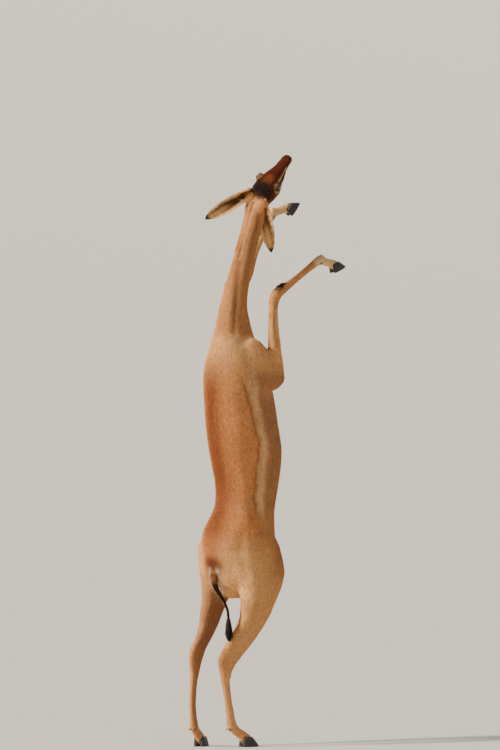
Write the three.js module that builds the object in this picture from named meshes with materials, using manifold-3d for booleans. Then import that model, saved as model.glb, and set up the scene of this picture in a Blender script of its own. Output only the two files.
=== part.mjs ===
// A life-size gerenuk doe, reared on its hind legs to browse, seen from behind and its right.
// Millimetres, +Z up. The animal faces +Y and its right side is +X.
import * as THREE from 'three';
import { mergeVertices } from 'three/addons/utils/BufferGeometryUtils.js';
import Module from 'manifold-3d';

const wasm = await Module();
wasm.setup();

// Driving sizes of the living animal.
const part_gap = 0.35;
const eye_across = 30;
const ear_long = 178;
const ear_wide = 50;
const ear_wall = 3.2;
const hoof_long = 70;
const hoof_wide = 21;
const hoof_high = 36;
const hoof_cleft = 2.4;
const lid_thick = 2.4;
const lid_opening = [27, 19];
const mouth_slit = 1.2;
const mouth_deep = 2.4;
const nostril_size = [5, 11, 6.5];
const dewclaw_long = 15;
const dewclaw_wide = 8;
const tail_locks = 13;
const tail_lock_long = 62;
const knee_locks = 6;
const knee_lock_long = 30;
const flesh_sides = 22;
const limb_sides = 12;
const head_sides = 18;
const pastern_sides = 10;
const eye_sides = 12;

// The head's own frame: its middle is on the forehead between the brows, and it is raised and rolled.
const head_middle = new THREE.Vector3(41, 91, 1981);
const head_heading = 27;
const head_raise = 54;
const head_roll = 55;

const radians = THREE.MathUtils.degToRad;
const vec = (x, y, z) => new THREE.Vector3(x, y, z);

// Solids and cuts.
function solid(geometry) {
  const bare = geometry.clone();
  bare.deleteAttribute('normal');
  bare.deleteAttribute('uv');
  const merged = mergeVertices(bare, 1e-4);
  const mesh = new wasm.Mesh({
    numProp: 3,
    vertProperties: Float32Array.from(merged.attributes.position.array),
    triVerts: Uint32Array.from(merged.index.array),
  });
  return new wasm.Manifold(mesh);
}

function geometryOf(body) {
  const mesh = body.getMesh();
  const geometry = new THREE.BufferGeometry();
  geometry.setAttribute('position', new THREE.BufferAttribute(Float32Array.from(mesh.vertProperties), 3));
  geometry.setIndex(Array.from(mesh.triVerts));
  return geometry;
}

function join(bodies) {
  return bodies.reduce((all, body) => all.add(body));
}

function largest(body) {
  const pieces = body.decompose();
  return pieces.reduce((best, piece) => (piece.volume() > best.volume() ? piece : best));
}

// A closed skin over a row of outlines with equal numbers of points, flat at both ends. With hollow
// ends each outline runs out along one wall and back along the other, and the ends join the walls.
function skinOver(outlines, hollow_ends = false) {
  const sides = outlines[0].length;
  const points = [];
  const faces = [];
  for (const outline of outlines) {
    for (const point of outline) points.push(point.x, point.y, point.z);
  }
  for (let row = 0; row + 1 < outlines.length; row++) {
    for (let side = 0; side < sides; side++) {
      const next = (side + 1) % sides;
      const here = row * sides;
      const above = here + sides;
      faces.push(here + side, here + next, above + next, here + side, above + next, above + side);
    }
  }
  for (const [row, turned] of [[0, true], [outlines.length - 1, false]]) {
    if (hollow_ends) {
      const start = row * sides;
      for (let i = 0; i + 1 < sides / 2; i++) {
        const strip = [start + i, start + i + 1, start + sides - 2 - i, start + sides - 1 - i];
        const [a, b, c, d] = turned ? strip.reverse() : strip;
        faces.push(a, b, c, a, c, d);
      }
      continue;
    }
    const middle = points.length / 3;
    const centre = outlines[row].reduce((sum, point) => sum.add(point), vec(0, 0, 0)).divideScalar(sides);
    points.push(centre.x, centre.y, centre.z);
    for (let side = 0; side < sides; side++) {
      const a = row * sides + side;
      const b = row * sides + ((side + 1) % sides);
      if (turned) faces.push(middle, b, a);
      else faces.push(middle, a, b);
    }
  }
  const geometry = new THREE.BufferGeometry();
  geometry.setAttribute('position', new THREE.BufferAttribute(Float32Array.from(points), 3));
  geometry.setIndex(faces);
  let body = solid(geometry);
  if (body.volume() < 0) {
    for (let i = 0; i < faces.length; i += 3) faces.splice(i, 3, faces[i], faces[i + 2], faces[i + 1]);
    geometry.setIndex(faces);
    body = solid(geometry);
  }
  return body;
}

// Values between stations, on a smooth curve through them.
function between(stations, steps) {
  const rows = [];
  const at = (i) => stations[Math.min(Math.max(i, 0), stations.length - 1)];
  for (let i = 0; i + 1 < stations.length; i++) {
    for (let step = 0; step < steps; step++) {
      const t = step / steps;
      rows.push(stations[i].map((value, key) => {
        const [p, q, r, s] = [at(i - 1)[key], value, at(i + 1)[key], at(i + 2)[key]];
        return q + 0.5 * t * (r - p + t * (2 * p - 5 * q + 4 * r - s + t * (3 * (q - r) + s - p)));
      }));
    }
  }
  rows.push(stations.at(-1));
  return rows;
}

function oval(centre, half_side, half_depth, sides, power = 2.2) {
  const round = (value) => Math.sign(value) * Math.abs(value) ** (2 / power);
  return Array.from({ length: sides }, (_, i) => {
    const angle = (2 * Math.PI * (i + 0.5)) / sides;
    return centre.clone()
      .addScaledVector(half_side, round(Math.cos(angle)))
      .addScaledVector(half_depth, round(Math.sin(angle)));
  });
}

// Level sections. A station is x, y, z, width, depth, turn about the upright axis in degrees.
function levelLoft(stations, sides, steps, grow = 0) {
  return skinOver(between(stations, steps).map(([x, y, z, wide, deep, turn = 0]) => {
    const angle = radians(turn);
    const side = vec(Math.cos(angle), Math.sin(angle), 0).multiplyScalar(wide / 2 + grow);
    const depth = vec(-Math.sin(angle), Math.cos(angle), 0).multiplyScalar(deep / 2 + grow);
    return oval(vec(x, y, z), side, depth, sides);
  }));
}

// Sections square to the path. A station is x, y, z, width, depth, and side_way points to the right.
function pathLoft(stations, sides, steps, side_way = vec(1, 0, 0), grow = 0) {
  const rows = between(stations, steps);
  const centres = rows.map(([x, y, z]) => vec(x, y, z));
  return skinOver(rows.map(([, , , wide, deep], i) => {
    const before = centres[Math.max(i - 1, 0)];
    const after = centres[Math.min(i + 1, rows.length - 1)];
    const along = after.clone().sub(before).normalize();
    const side = side_way.clone().addScaledVector(along, -side_way.dot(along)).normalize();
    const depth = along.clone().cross(side);
    return oval(centres[i], side.multiplyScalar(wide / 2 + grow), depth.multiplyScalar(deep / 2 + grow), sides);
  }));
}

// A disc as thin as the gap between two parts, square to a direction.
function disc(centre, way, radius) {
  const geometry = new THREE.CylinderGeometry(radius, radius, part_gap, 16);
  geometry.applyQuaternion(new THREE.Quaternion().setFromUnitVectors(vec(0, 1, 0), way.clone().normalize()));
  geometry.translate(centre.x, centre.y, centre.z);
  return solid(geometry);
}

// A thin plate that follows a line in the X-Z plane and runs through the body along Y.
function plate(line, from_y, to_y, thick = part_gap) {
  const half = thick / 2;
  const normals = line.map((point, i) => {
    const before = line[Math.max(i - 1, 0)];
    const after = line[Math.min(i + 1, line.length - 1)];
    const way = new THREE.Vector2(after[0] - before[0], after[1] - before[1]).normalize();
    return [-way.y * half, way.x * half];
  });
  const near = line.map(([x, z], i) => new THREE.Vector2(x + normals[i][0], z + normals[i][1]));
  const far = line.map(([x, z], i) => new THREE.Vector2(x - normals[i][0], z - normals[i][1])).reverse();
  const shape = new THREE.Shape([...near, ...far]);
  const geometry = new THREE.ExtrudeGeometry(shape, { depth: to_y - from_y, bevelEnabled: false });
  geometry.rotateX(Math.PI / 2);
  geometry.translate(0, to_y, 0);
  return solid(geometry);
}

// Trunk and neck in one smooth form, from the crotch up to the poll.
const trunk_stations = [
  [0, -20, 520, 50, 90, 0],
  [0, -28, 562, 140, 196, 0],
  [0, -18, 632, 190, 264, 0],
  [0, -14, 700, 202, 304, 0],
  [0, -10, 763, 194, 300, 0],
  [0, 12, 822, 172, 262, 0],
  [0, 26, 882, 164, 266, 0],
  [0, 30, 962, 176, 292, 0],
  [0, 22, 1043, 190, 316, 0],
  [0, 6, 1120, 196, 308, 0],
  [0, -8, 1204, 196, 296, 0],
  [0, -22, 1284, 190, 278, 0],
  [0, -32, 1340, 176, 248, 0],
  [0, -38, 1400, 148, 194, 0],
  [0, -42, 1460, 116, 150, 0],
];
const neck_stations = [
  [0, -38, 1405, 138, 178],
  [0, -42, 1460, 116, 150],
  [0, -42, 1510, 98, 126],
  [0, -37, 1560, 84, 106],
  [0, -14, 1640, 76, 92],
  [0, 20, 1729, 70, 82],
  [0, 48, 1800, 68, 76],
  [-2, 66, 1850, 68, 74],
  [-4, 80, 1893, 66, 72],
  [-4, 90, 1925, 56, 60],
];

// Hind legs, each a level loft from inside the rump down to the fetlock.
const hind_right = [
  [58, -8, 768, 86, 170, 0],
  [64, 2, 708, 108, 230, 0],
  [64, 8, 658, 116, 254, 0],
  [66, 20, 610, 116, 250, 0],
  [73, 20, 562, 104, 204, 0],
  [82, 1, 514, 84, 168, 0],
  [77, -11, 465, 70, 144, 0],
  [69, -30, 425, 58, 138, 0],
  [58, -58, 381, 49, 136, 0],
  [48, -82, 346, 42, 130, 0],
  [41, -105, 316, 38, 116, 0],
  [37, -114, 294, 36, 88, 0],
  [33, -117, 268, 32, 58, 0],
  [28, -111, 236, 26, 42, 0],
  [23, -99, 202, 24, 37, 0],
  [15, -80, 150, 23, 35, 0],
  [9, -65, 108, 25, 37, 0],
  [5, -54, 80, 30, 42, 0],
  [5, -46, 62, 28, 38, 0],
];
const hind_left = [
  [-58, -16, 768, 86, 170, 0],
  [-65, -22, 708, 110, 238, 0],
  [-64, -14, 658, 116, 256, 0],
  [-68, -16, 610, 114, 250, 6],
  [-78, -22, 562, 102, 214, 14],
  [-88, -40, 511, 76, 160, 20],
  [-94, -52, 465, 66, 138, 20],
  [-98, -60, 427, 56, 122, 20],
  [-102, -82, 381, 46, 112, 20],
  [-105, -106, 346, 41, 114, 20],
  [-104, -120, 312, 37, 96, 20],
  [-103, -126, 290, 35, 78, 20],
  [-101, -130, 266, 32, 56, 20],
  [-100, -136, 236, 26, 41, 20],
  [-99, -141, 202, 24, 37, 20],
  [-98, -145, 150, 23, 35, 20],
  [-97, -143, 108, 25, 37, 20],
  [-96, -140, 80, 30, 42, 20],
  [-97, -132, 62, 28, 38, 20],
];

// Shoulders with the upper arm, then each foreleg from the elbow to the fetlock.
const upper_arm_right = [
  [56, -40, 1418, 50, 60],
  [66, -18, 1394, 66, 96],
  [78, 22, 1350, 70, 96],
  [89, 54, 1300, 64, 116],
  [94, 82, 1276, 52, 78],
  [95, 96, 1264, 28, 34],
];
const foreleg_right = [
  [95, 96, 1274, 36, 42],
  [94, 85, 1322, 46, 60],
  [92, 75, 1385, 42, 58],
  [91, 70, 1450, 35, 50],
  [90, 68, 1525, 30, 42],
  [90, 74, 1568, 35, 44],
  [91, 92, 1590, 35, 42],
  [92, 122, 1604, 28, 34],
  [94, 170, 1630, 22, 28],
  [97, 240, 1670, 21, 27],
  [99, 286, 1696, 25, 32],
  [100, 306, 1707, 28, 35],
];
const upper_arm_left = [
  [-56, -46, 1412, 50, 60],
  [-66, -24, 1402, 66, 104],
  [-78, 8, 1392, 72, 112],
  [-87, 38, 1388, 62, 92],
  [-90, 62, 1392, 48, 66],
  [-90, 74, 1394, 30, 40],
];
const foreleg_left = [
  [-90, 66, 1386, 36, 42],
  [-89, 62, 1430, 46, 60],
  [-86, 70, 1490, 40, 54],
  [-80, 86, 1560, 33, 44],
  [-75, 103, 1622, 31, 38],
  [-72, 116, 1658, 36, 44],
  [-71, 130, 1688, 31, 38],
  [-68, 152, 1732, 22, 28],
  [-65, 192, 1800, 21, 27],
  [-63, 222, 1848, 26, 33],
  [-62, 236, 1870, 28, 35],
];

// The head's frame, worked out from how far the head is turned, raised and rolled.
const head_forward = vec(
  Math.sin(radians(head_heading)) * Math.cos(radians(head_raise)),
  Math.cos(radians(head_heading)) * Math.cos(radians(head_raise)),
  Math.sin(radians(head_raise)),
);
const head_right = vec(Math.cos(radians(head_heading)), -Math.sin(radians(head_heading)), 0)
  .applyAxisAngle(head_forward, radians(head_roll));
const head_up = head_right.clone().cross(head_forward);
const inHead = (right, forward, up) => head_middle.clone()
  .addScaledVector(head_right, right)
  .addScaledVector(head_forward, forward)
  .addScaledVector(head_up, up);

// Skull and muzzle: forward place, width, top and underside in the head's frame.
const head_stations = [
  [-100, 40, -18, -52],
  [-90, 66, -6, -66],
  [-68, 80, 3, -78],
  [-34, 88, 8, -88],
  [0, 92, 4, -90],
  [34, 72, -9, -82],
  [68, 52, -23, -74],
  [98, 42, -32, -68],
  [118, 38, -37, -64],
  [128, 30, -41, -60],
  [132, 16, -45, -55],
];
function headLoft(grow = 0) {
  return skinOver(between(head_stations, 1).map(([forward, wide, top, under]) => oval(
    inHead(0, forward, (top + under) / 2),
    head_right.clone().multiplyScalar(wide / 2 + grow),
    head_up.clone().multiplyScalar((top - under) / 2 + grow),
    head_sides,
    2.3,
  )));
}

// The head's frame as a placing for pieces drawn with X ahead, Y to the left and Z up.
const head_place = new THREE.Matrix4()
  .makeBasis(head_forward, head_right.clone().negate(), head_up)
  .setPosition(head_middle);

// The line of the mouth runs back from under the nose. It is cut only as deep as the lips.
const mouth_line = [[140, -53], [122, -53], [104, -55], [88, -58], [76, -62]];
function mouthGroove() {
  return plate(mouth_line, -40, 40, mouth_slit).transform(head_place.elements).subtract(headLoft(-mouth_deep));
}

function nostril(side) {
  const hole = new THREE.SphereGeometry(0.5, 10, 8)
    .scale(nostril_size[1], nostril_size[0], nostril_size[2])
    .rotateZ(side * 0.5)
    .rotateY(-0.5)
    .translate(125, -side * 12, -46)
    .applyMatrix4(head_place);
  return solid(hole);
}

// An eye looks out to its side, a little ahead and up. Its lids are a thin ball of skin round it,
// open in the shape of an almond whose front corner is the lower one.
const eye_place = [34, 4, -24];
const eyeMiddle = (side) => inHead(side * eye_place[0], eye_place[1], eye_place[2]);
function ball(middle, radius) {
  const sphere = new THREE.SphereGeometry(radius, eye_sides, Math.floor(eye_sides * 0.7));
  return solid(sphere.translate(middle.x, middle.y, middle.z));
}
function almond(side) {
  const [wide, high] = lid_opening;
  const look = head_right.clone().multiplyScalar(side * 0.9)
    .addScaledVector(head_forward, 0.34).addScaledVector(head_up, 0.26).normalize();
  const front = head_forward.clone().addScaledVector(head_up, -0.3);
  front.addScaledVector(look, -front.dot(look)).normalize();
  const shape = new THREE.Shape();
  shape.moveTo(-wide / 2, 0);
  shape.quadraticCurveTo(0, high, wide / 2, 0);
  shape.quadraticCurveTo(0, -high * 0.9, -wide / 2, 0);
  const window = new THREE.ExtrudeGeometry(shape, { depth: eye_across, bevelEnabled: false, curveSegments: 6 });
  const middle = eyeMiddle(side);
  window.applyMatrix4(new THREE.Matrix4().makeBasis(front, look.clone().cross(front), look).setPosition(middle));
  return solid(window);
}

// A flat tapered lock of hair. It leaves its root one way and bends towards another.
function lock(root, leave, droop, long, wide, thick) {
  const rows = 4;
  const across = droop.clone().cross(leave);
  const outlines = [];
  const at = root.clone();
  for (let row = 0; row <= rows; row++) {
    const place = row / rows;
    const way = leave.clone().lerp(droop, place).normalize();
    if (row > 0) at.addScaledVector(way, long / rows);
    const side = across.clone().addScaledVector(way, -across.dot(way)).normalize();
    const taper = place < 0.3 ? 0.75 + 0.83 * place : Math.max((1 - place) / 0.7, 0.12) ** 0.7;
    outlines.push(oval(
      at.clone(),
      side.multiplyScalar((wide / 2) * taper),
      way.cross(side).normalize().multiplyScalar((thick / 2) * taper),
      4,
      2,
    ));
  }
  return skinOver(outlines);
}

// A repeatable draw between 0 and 1, so that the locks vary the same way each time.
let draw_state = 7;
function draw() {
  draw_state = (draw_state * 16807) % 2147483647;
  return draw_state / 2147483647;
}

// An ear is a leaf rolled into a cup. At each place along it the outline is a C with a thin wall.
const ear_stations = [
  [-0.08, 0.62, 0.56, 165],
  [0.08, 0.8, 0.6, 150],
  [0.28, 0.96, 0.48, 112],
  [0.5, 1.04, 0.36, 92],
  [0.7, 0.94, 0.27, 85],
  [0.86, 0.7, 0.18, 80],
  [0.96, 0.38, 0.11, 75],
  [1.0, 0.16, 0.07, 70],
];
// Each ear is swung its own way. Both directions are right, forward and up in the head's frame.
const ear_swing = {
  ear_right: { root: [29, -76, -8], along: [96, -110, -94], opening: [0.25, 0, 1] },
  ear_left: { root: [-34, -68, -8], along: [-86, -157, -18], opening: [0.05, -0.45, 0.8] },
};
const headWay = ([right, forward, up]) => inHead(right, forward, up).sub(head_middle).normalize();
function ear(name) {
  const swing = ear_swing[name];
  const root = inHead(...swing.root);
  const along = headWay(swing.along);
  const open_way = headWay(swing.opening);
  open_way.addScaledVector(along, -open_way.dot(along)).normalize();
  const across = along.clone().cross(open_way);
  const points = 9;
  return skinOver(between(ear_stations, 2).map(([place, wide, deep, wrap]) => {
    const middle = root.clone().addScaledVector(along, ear_long * place);
    const outline = [];
    for (const [inset, order] of [[0, 1], [ear_wall, -1]]) {
      for (let i = 0; i < points; i++) {
        const angle = radians(wrap) * order * ((2 * i) / (points - 1) - 1);
        const half_wide = Math.max((ear_wide * wide) / 2 - inset, 0.8);
        const half_deep = Math.max(ear_wide * deep - inset, 0.4);
        outline.push(middle.clone()
          .addScaledVector(across, half_wide * Math.sin(angle))
          .addScaledVector(open_way, -half_deep * Math.cos(angle)));
      }
    }
    return outline;
  }), true);
}

// One claw of a hoof: flat sole at its lowest, toe along +Y, highest at the coronet.
const claw_stations = [
  [0, 0.04, 0, 0.92, 1.0, 0],
  [0, 0.03, 0.1, 1.0, 1.0, 0],
  [0, -0.02, 0.4, 0.96, 0.86, 0],
  [0, -0.08, 0.72, 0.86, 0.68, 0],
  [0, -0.12, 1.0, 0.74, 0.5, 0],
];
function claw(grow = 0) {
  const outlines = between(claw_stations, 1).map(([, y, z, wide, long]) => {
    const side = vec((hoof_wide * wide) / 2 + grow, 0, 0);
    const depth = vec(0, (hoof_long * long) / 2 + grow, 0);
    const outline = oval(vec(0, hoof_long * y, hoof_high * z + (z > 0.9 ? grow : 0)), side, depth, 12, 2.4);
    for (const point of outline) {
      const ahead = Math.max(point.y / hoof_long, 0);
      point.x *= 1 - 0.9 * ahead ** 1.5;
    }
    return outline;
  });
  return skinOver(outlines);
}

// A foot: fetlock and pastern down to the two claws, built standing at the origin, toe along +Y.
const pastern_back = 72;
const pastern_path = [
  [0, -pastern_back - 4, 90, 27, 34],
  [0, -pastern_back + 2, 74, 31, 40],
  [0, -pastern_back + 22, 56, 28, 34],
  [0, -pastern_back + 44, 42, 30, 36],
  [0, -pastern_back + 60, 28, 36, 44],
  [0, -pastern_back + 70, 16, 34, 40],
];
function dewclaw(side) {
  const root = vec(side * 9, -pastern_back - 10, 70);
  const outlines = [0, 0.45, 0.8, 1].map((place) => oval(
    root.clone().add(vec(side * 3 * place, -8 * place, -dewclaw_long * place)),
    vec((dewclaw_wide / 2) * (1.05 - 0.8 * place ** 2), 0, 0),
    vec(0, (dewclaw_wide / 2) * (1.1 - 0.8 * place ** 2), 0),
    6,
    2,
  ));
  return skinOver(outlines);
}
function foot(matrix) {
  const claws = [-1, 1].map((side) => {
    const place = new THREE.Matrix4().makeTranslation(side * (hoof_wide + hoof_cleft) / 2, 0, 0);
    const whole = matrix.clone().multiply(place);
    return {
      horn: claw().transform(whole.elements),
      room: claw(part_gap).transform(whole.elements),
    };
  });
  let pastern = pathLoft(pastern_path, pastern_sides, 1).transform(matrix.elements);
  for (const { room } of claws) pastern = pastern.subtract(room);
  for (const side of [-1, 1]) pastern = pastern.add(dewclaw(side).transform(matrix.elements));
  return { claws: claws.map(({ horn }) => horn), pastern: largest(pastern), rooms: claws.map(({ room }) => room) };
}

function footPlace(fetlock, toe_way, tilt = 0, size = 1) {
  const matrix = new THREE.Matrix4().makeTranslation(fetlock.x, fetlock.y, fetlock.z);
  matrix.multiply(new THREE.Matrix4().makeRotationZ(-toe_way));
  matrix.multiply(new THREE.Matrix4().makeRotationX(tilt));
  matrix.scale(vec(size, size, size));
  matrix.multiply(new THREE.Matrix4().makeTranslation(0, pastern_back - 2, -76));
  return matrix;
}

// Where each foot's fetlock is, and how far the toe is turned out and tipped. The front feet are smaller.
const front_size = 0.88;
const feet = {
  hind_right: footPlace(vec(5, -54, 76), radians(15)),
  hind_left: footPlace(vec(-96, -140, 76), radians(-20)),
  front_right: footPlace(vec(100, 310, 1706), radians(4), radians(22), front_size),
  front_left: footPlace(vec(-62, 238, 1872), radians(12), radians(52), front_size),
};

// The whole animal in flesh, then parted with thin cuts.
const made_feet = Object.fromEntries(Object.entries(feet).map(([name, matrix]) => [name, foot(matrix)]));
const head_core = headLoft();
const flesh = join([
  levelLoft(trunk_stations, flesh_sides, 2),
  pathLoft(neck_stations, flesh_sides, 2),
  levelLoft(hind_right, limb_sides, 1),
  levelLoft(hind_left, limb_sides, 1),
  pathLoft(upper_arm_right, limb_sides, 1),
  pathLoft(upper_arm_left, limb_sides, 1),
  pathLoft(foreleg_right, limb_sides, 2),
  pathLoft(foreleg_left, limb_sides, 2),
  head_core,
  ...Object.values(made_feet).map(({ pastern }) => pastern),
]);

const cuts = join([
  disc(vec(-2.5, 69, 1858), vec(0, 0.36, 0.93), 46),
  disc(vec(0, -14, 1640), vec(0, 0.33, 0.94), 62),
  disc(vec(0, -40, 1448), vec(0, 0, 1), 92),
  disc(vec(0, 0, 1085), vec(0, 0, 1), 210),
  disc(vec(0, 0, 805), vec(0, 0, 1), 200),
  plate([[120, 800], [0, 596], [-120, 800]], -200, 220),
  plate([[0, 596.2], [0, 480]], -200, 220),
  disc(vec(81, -2, 506), vec(0.1, 0.3, 0.95), 98),
  disc(vec(-89, -43, 504), vec(0.1, 0.24, 0.96), 92),
  disc(vec(47, -84, 345), vec(0.3, 0.6, 0.74), 66),
  disc(vec(-105, -106, 346), vec(0, 0.5, 0.86), 64),
  disc(vec(30, -114, 252), vec(0.14, -0.2, 0.97), 36),
  disc(vec(-100.5, -133, 252), vec(0, 0.17, 0.98), 34),
  disc(vec(8, -63, 104), vec(0.14, -0.36, 0.92), 34),
  disc(vec(-97, -143, 104), vec(0, 0, 1), 34),
  plate([[66, 1470], [66, 1232], [150, 1226]], -220, 220),
  plate([[-66, 1480], [-66, 1310], [-150, 1304]], -220, 220),
  disc(vec(91.7, 73.5, 1402), vec(0, -0.1, 1), 36),
  disc(vec(-87.5, 66, 1462), vec(0.05, 0.1, 1), 40),
  disc(vec(90, 70, 1546), vec(0, 0.1, 1), 30),
  disc(vec(-74, 106, 1632), vec(0.1, 0.3, 0.95), 28),
  disc(vec(92.5, 128, 1607), vec(0.03, 0.88, 0.47), 26),
  disc(vec(-69.5, 142, 1712), vec(0.06, 0.48, 0.87), 26),
  disc(vec(98, 270, 1687), vec(0.03, 0.87, 0.5), 26),
  disc(vec(-63.5, 212, 1832), vec(0.05, 0.52, 0.85), 26),
]);

let body = flesh.subtract(cuts);
for (const { rooms } of Object.values(made_feet)) {
  for (const room of rooms) body = body.subtract(room);
}

// A point inside each part of the body, by which the part is known after the cuts.
const part_seeds = {
  head: inHead(0, 0, -40),
  neck_upper: vec(0, 20, 1729),
  neck_lower: vec(0, -37, 1560),
  chest: vec(0, 0, 1200),
  belly: vec(0, 20, 900),
  rump: vec(0, -12, 720),
  shoulder_right: vec(85, 50, 1330),
  shoulder_left: vec(-82, 20, 1390),
  forearm_right: vec(91, 70, 1450),
  forearm_left: vec(-80, 86, 1560),
  knee_right: vec(90, 76, 1572),
  knee_left: vec(-72, 116, 1660),
  cannon_front_right: vec(95, 200, 1647),
  cannon_front_left: vec(-66, 180, 1780),
  pastern_front_right: vec(99.5, 296, 1701),
  pastern_front_left: vec(-62.5, 230, 1860),
  thigh_right: vec(70, 15, 600),
  thigh_left: vec(-70, -15, 600),
  shank_right: vec(70, -25, 430),
  shank_left: vec(-97, -60, 430),
  hock_right: vec(38, -112, 300),
  hock_left: vec(-103, -124, 300),
  cannon_hind_right: vec(19, -90, 175),
  cannon_hind_left: vec(-98.5, -143, 175),
  pastern_hind_right: vec(5, -54, 78),
  pastern_hind_left: vec(-96, -140, 78),
};
const fragments = body.decompose();
const nodes = {};
for (const [name, seed] of Object.entries(part_seeds)) {
  const probe = solid(new THREE.BoxGeometry(1, 1, 1).translate(seed.x, seed.y, seed.z));
  const found = fragments.find((piece) => piece.intersect(probe).volume() > 0.1);
  if (!found) throw new Error(`no flesh at ${name}`);
  nodes[name] = found;
}

// Eyes sit in sockets cut to fit them, behind the lids.
for (const [name, side] of [['eye_right', 1], ['eye_left', -1]]) {
  const middle = eyeMiddle(side);
  nodes[name] = ball(middle, eye_across / 2);
  nodes.head = nodes.head.add(ball(middle, eye_across / 2 + lid_thick))
    .subtract(ball(middle, eye_across / 2 + part_gap))
    .subtract(almond(side))
    .subtract(nostril(side));
}
nodes.head = largest(nodes.head.subtract(mouthGroove()));

// Ears stand on the head and are cut to its surface.
const head_room = headLoft(part_gap);
const neck_room = pathLoft(neck_stations, flesh_sides, 2, vec(1, 0, 0), part_gap);
for (const name of Object.keys(ear_swing)) {
  nodes[name] = largest(ear(name).subtract(head_room).subtract(neck_room));
}

// The tail hangs from the rump and swings to the right, and ends in a dark tuft.
const tail_stations = [
  [0, -120, 628, 30, 26],
  [2, -146, 604, 28, 24],
  [14, -145, 560, 20, 17],
  [36, -132, 518, 15, 13],
  [52, -128, 483, 13, 11],
  [58, -130, 451, 12, 10],
];
const tuft_core = [
  [58, -130, 450.5, 13, 12],
  [61, -131, 432, 15, 13],
  [63, -133, 412, 8, 7],
  [64, -134, 402, 3, 3],
];
const rump_room = levelLoft(trunk_stations, flesh_sides, 2, part_gap)
  .add(levelLoft(hind_right, limb_sides, 1, part_gap))
  .add(levelLoft(hind_left, limb_sides, 1, part_gap));
const tuft_cut = disc(vec(58, -130, 452), vec(0.15, -0.05, -1), 16);
nodes.tail = largest(pathLoft(tail_stations, pastern_sides, 2).subtract(rump_room).subtract(tuft_cut));
const tail_down = vec(0.12, -0.08, -1).normalize();
const tuft = [pathLoft(tuft_core, pastern_sides, 2)];
for (let i = 0; i < tail_locks; i++) {
  const place = i / tail_locks;
  const turn = i * 2.4 + draw() * 0.5;
  const out = vec(Math.cos(turn), Math.sin(turn), 0);
  const root = vec(58.5 + 2.5 * place, -130 - place, 444 - 26 * place).addScaledVector(out, 3);
  const leave = tail_down.clone().addScaledVector(out, 0.3 + 0.15 * draw());
  const long = tail_lock_long * (0.72 + 0.28 * draw()) * (1 - 0.38 * place);
  tuft.push(lock(root, leave, tail_down.clone().addScaledVector(out, -0.06), long, 8.5, 4));
}
nodes.tail_tuft = largest(join(tuft).subtract(tuft_cut));

// A dark tuft lies over the front of each knee.
function kneeTuft(middle, front, down, right) {
  const locks = [];
  for (let i = 0; i < knee_locks; i++) {
    const across = ((i % 3) - 1) * 8 + 2 * draw();
    const along = Math.floor(i / 3) * 9 - 16;
    const root = middle.clone().addScaledVector(right, across).addScaledVector(down, along)
      .addScaledVector(front, 9 - Math.abs(across) * 0.25);
    const leave = down.clone().addScaledVector(front, 0.75 + 0.2 * draw()).addScaledVector(right, across * 0.02);
    const droop = down.clone().addScaledVector(front, -0.1);
    locks.push(lock(root, leave, droop, knee_lock_long * (0.8 + 0.2 * draw()), 9, 4));
  }
  return join(locks);
}
nodes.knee_right = nodes.knee_right.add(kneeTuft(
  vec(91, 82, 1588), vec(0, -0.62, 0.79).normalize(), vec(0.02, 0.8, 0.6).normalize(), vec(1, 0, 0)));
nodes.knee_left = nodes.knee_left.add(kneeTuft(
  vec(-72, 118, 1672), vec(0, -0.86, 0.5).normalize(), vec(0.03, 0.5, 0.86).normalize(), vec(1, 0, 0)));

// Hooves: two claws to each foot.
for (const [foot_name, { claws }] of Object.entries(made_feet)) {
  nodes[`hoof_${foot_name}_a`] = claws[0];
  nodes[`hoof_${foot_name}_b`] = claws[1];
}

// Colours of the coat, horn and eyes.
const finishes = {
  tan: { color: 0xb98a5a, roughness: 0.9, metalness: 0 },
  saddle: { color: 0x9a6238, roughness: 0.9, metalness: 0 },
  dark: { color: 0x2c211b, roughness: 0.85, metalness: 0 },
  horn: { color: 0x2e2b2a, roughness: 0.5, metalness: 0 },
  eye: { color: 0x120c08, roughness: 0.1, metalness: 0 },
};
function finishOf(name) {
  if (name.startsWith('hoof')) return finishes.horn;
  if (name.startsWith('eye')) return finishes.eye;
  if (name === 'tail_tuft') return finishes.dark;
  if (['chest', 'belly', 'rump', 'head'].includes(name)) return finishes.saddle;
  return finishes.tan;
}

const animal = new THREE.Group();
const bounds = new THREE.Box3();
for (const [name, piece] of Object.entries(nodes)) {
  const mesh = new THREE.Mesh(geometryOf(piece), new THREE.MeshStandardMaterial(finishOf(name)));
  mesh.name = name;
  mesh.geometry.computeBoundingBox();
  bounds.union(mesh.geometry.boundingBox);
  animal.add(mesh);
}

// The origin is on the floor, under the middle of the whole animal.
const middle = bounds.getCenter(new THREE.Vector3());
animal.position.set(-middle.x, -middle.y, -bounds.min.z);
const gerenuk = new THREE.Group();
gerenuk.add(animal);

export default gerenuk;
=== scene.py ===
# %% [markdown]
# # A gerenuk doe, reared to browse
# The animal stands on its hind hooves with its long neck stretched up, its forelegs raised and its ears
# swung back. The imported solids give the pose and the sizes. This lesson dresses them: one skin over all
# the flesh, a short coat of fine tufts, locks on the tail and knees, eyes with lids and lashes, and horn.

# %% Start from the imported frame
import math

import bpy
import bmesh
import numpy as np
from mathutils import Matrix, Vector
from mathutils.bvhtree import BVHTree


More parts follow.
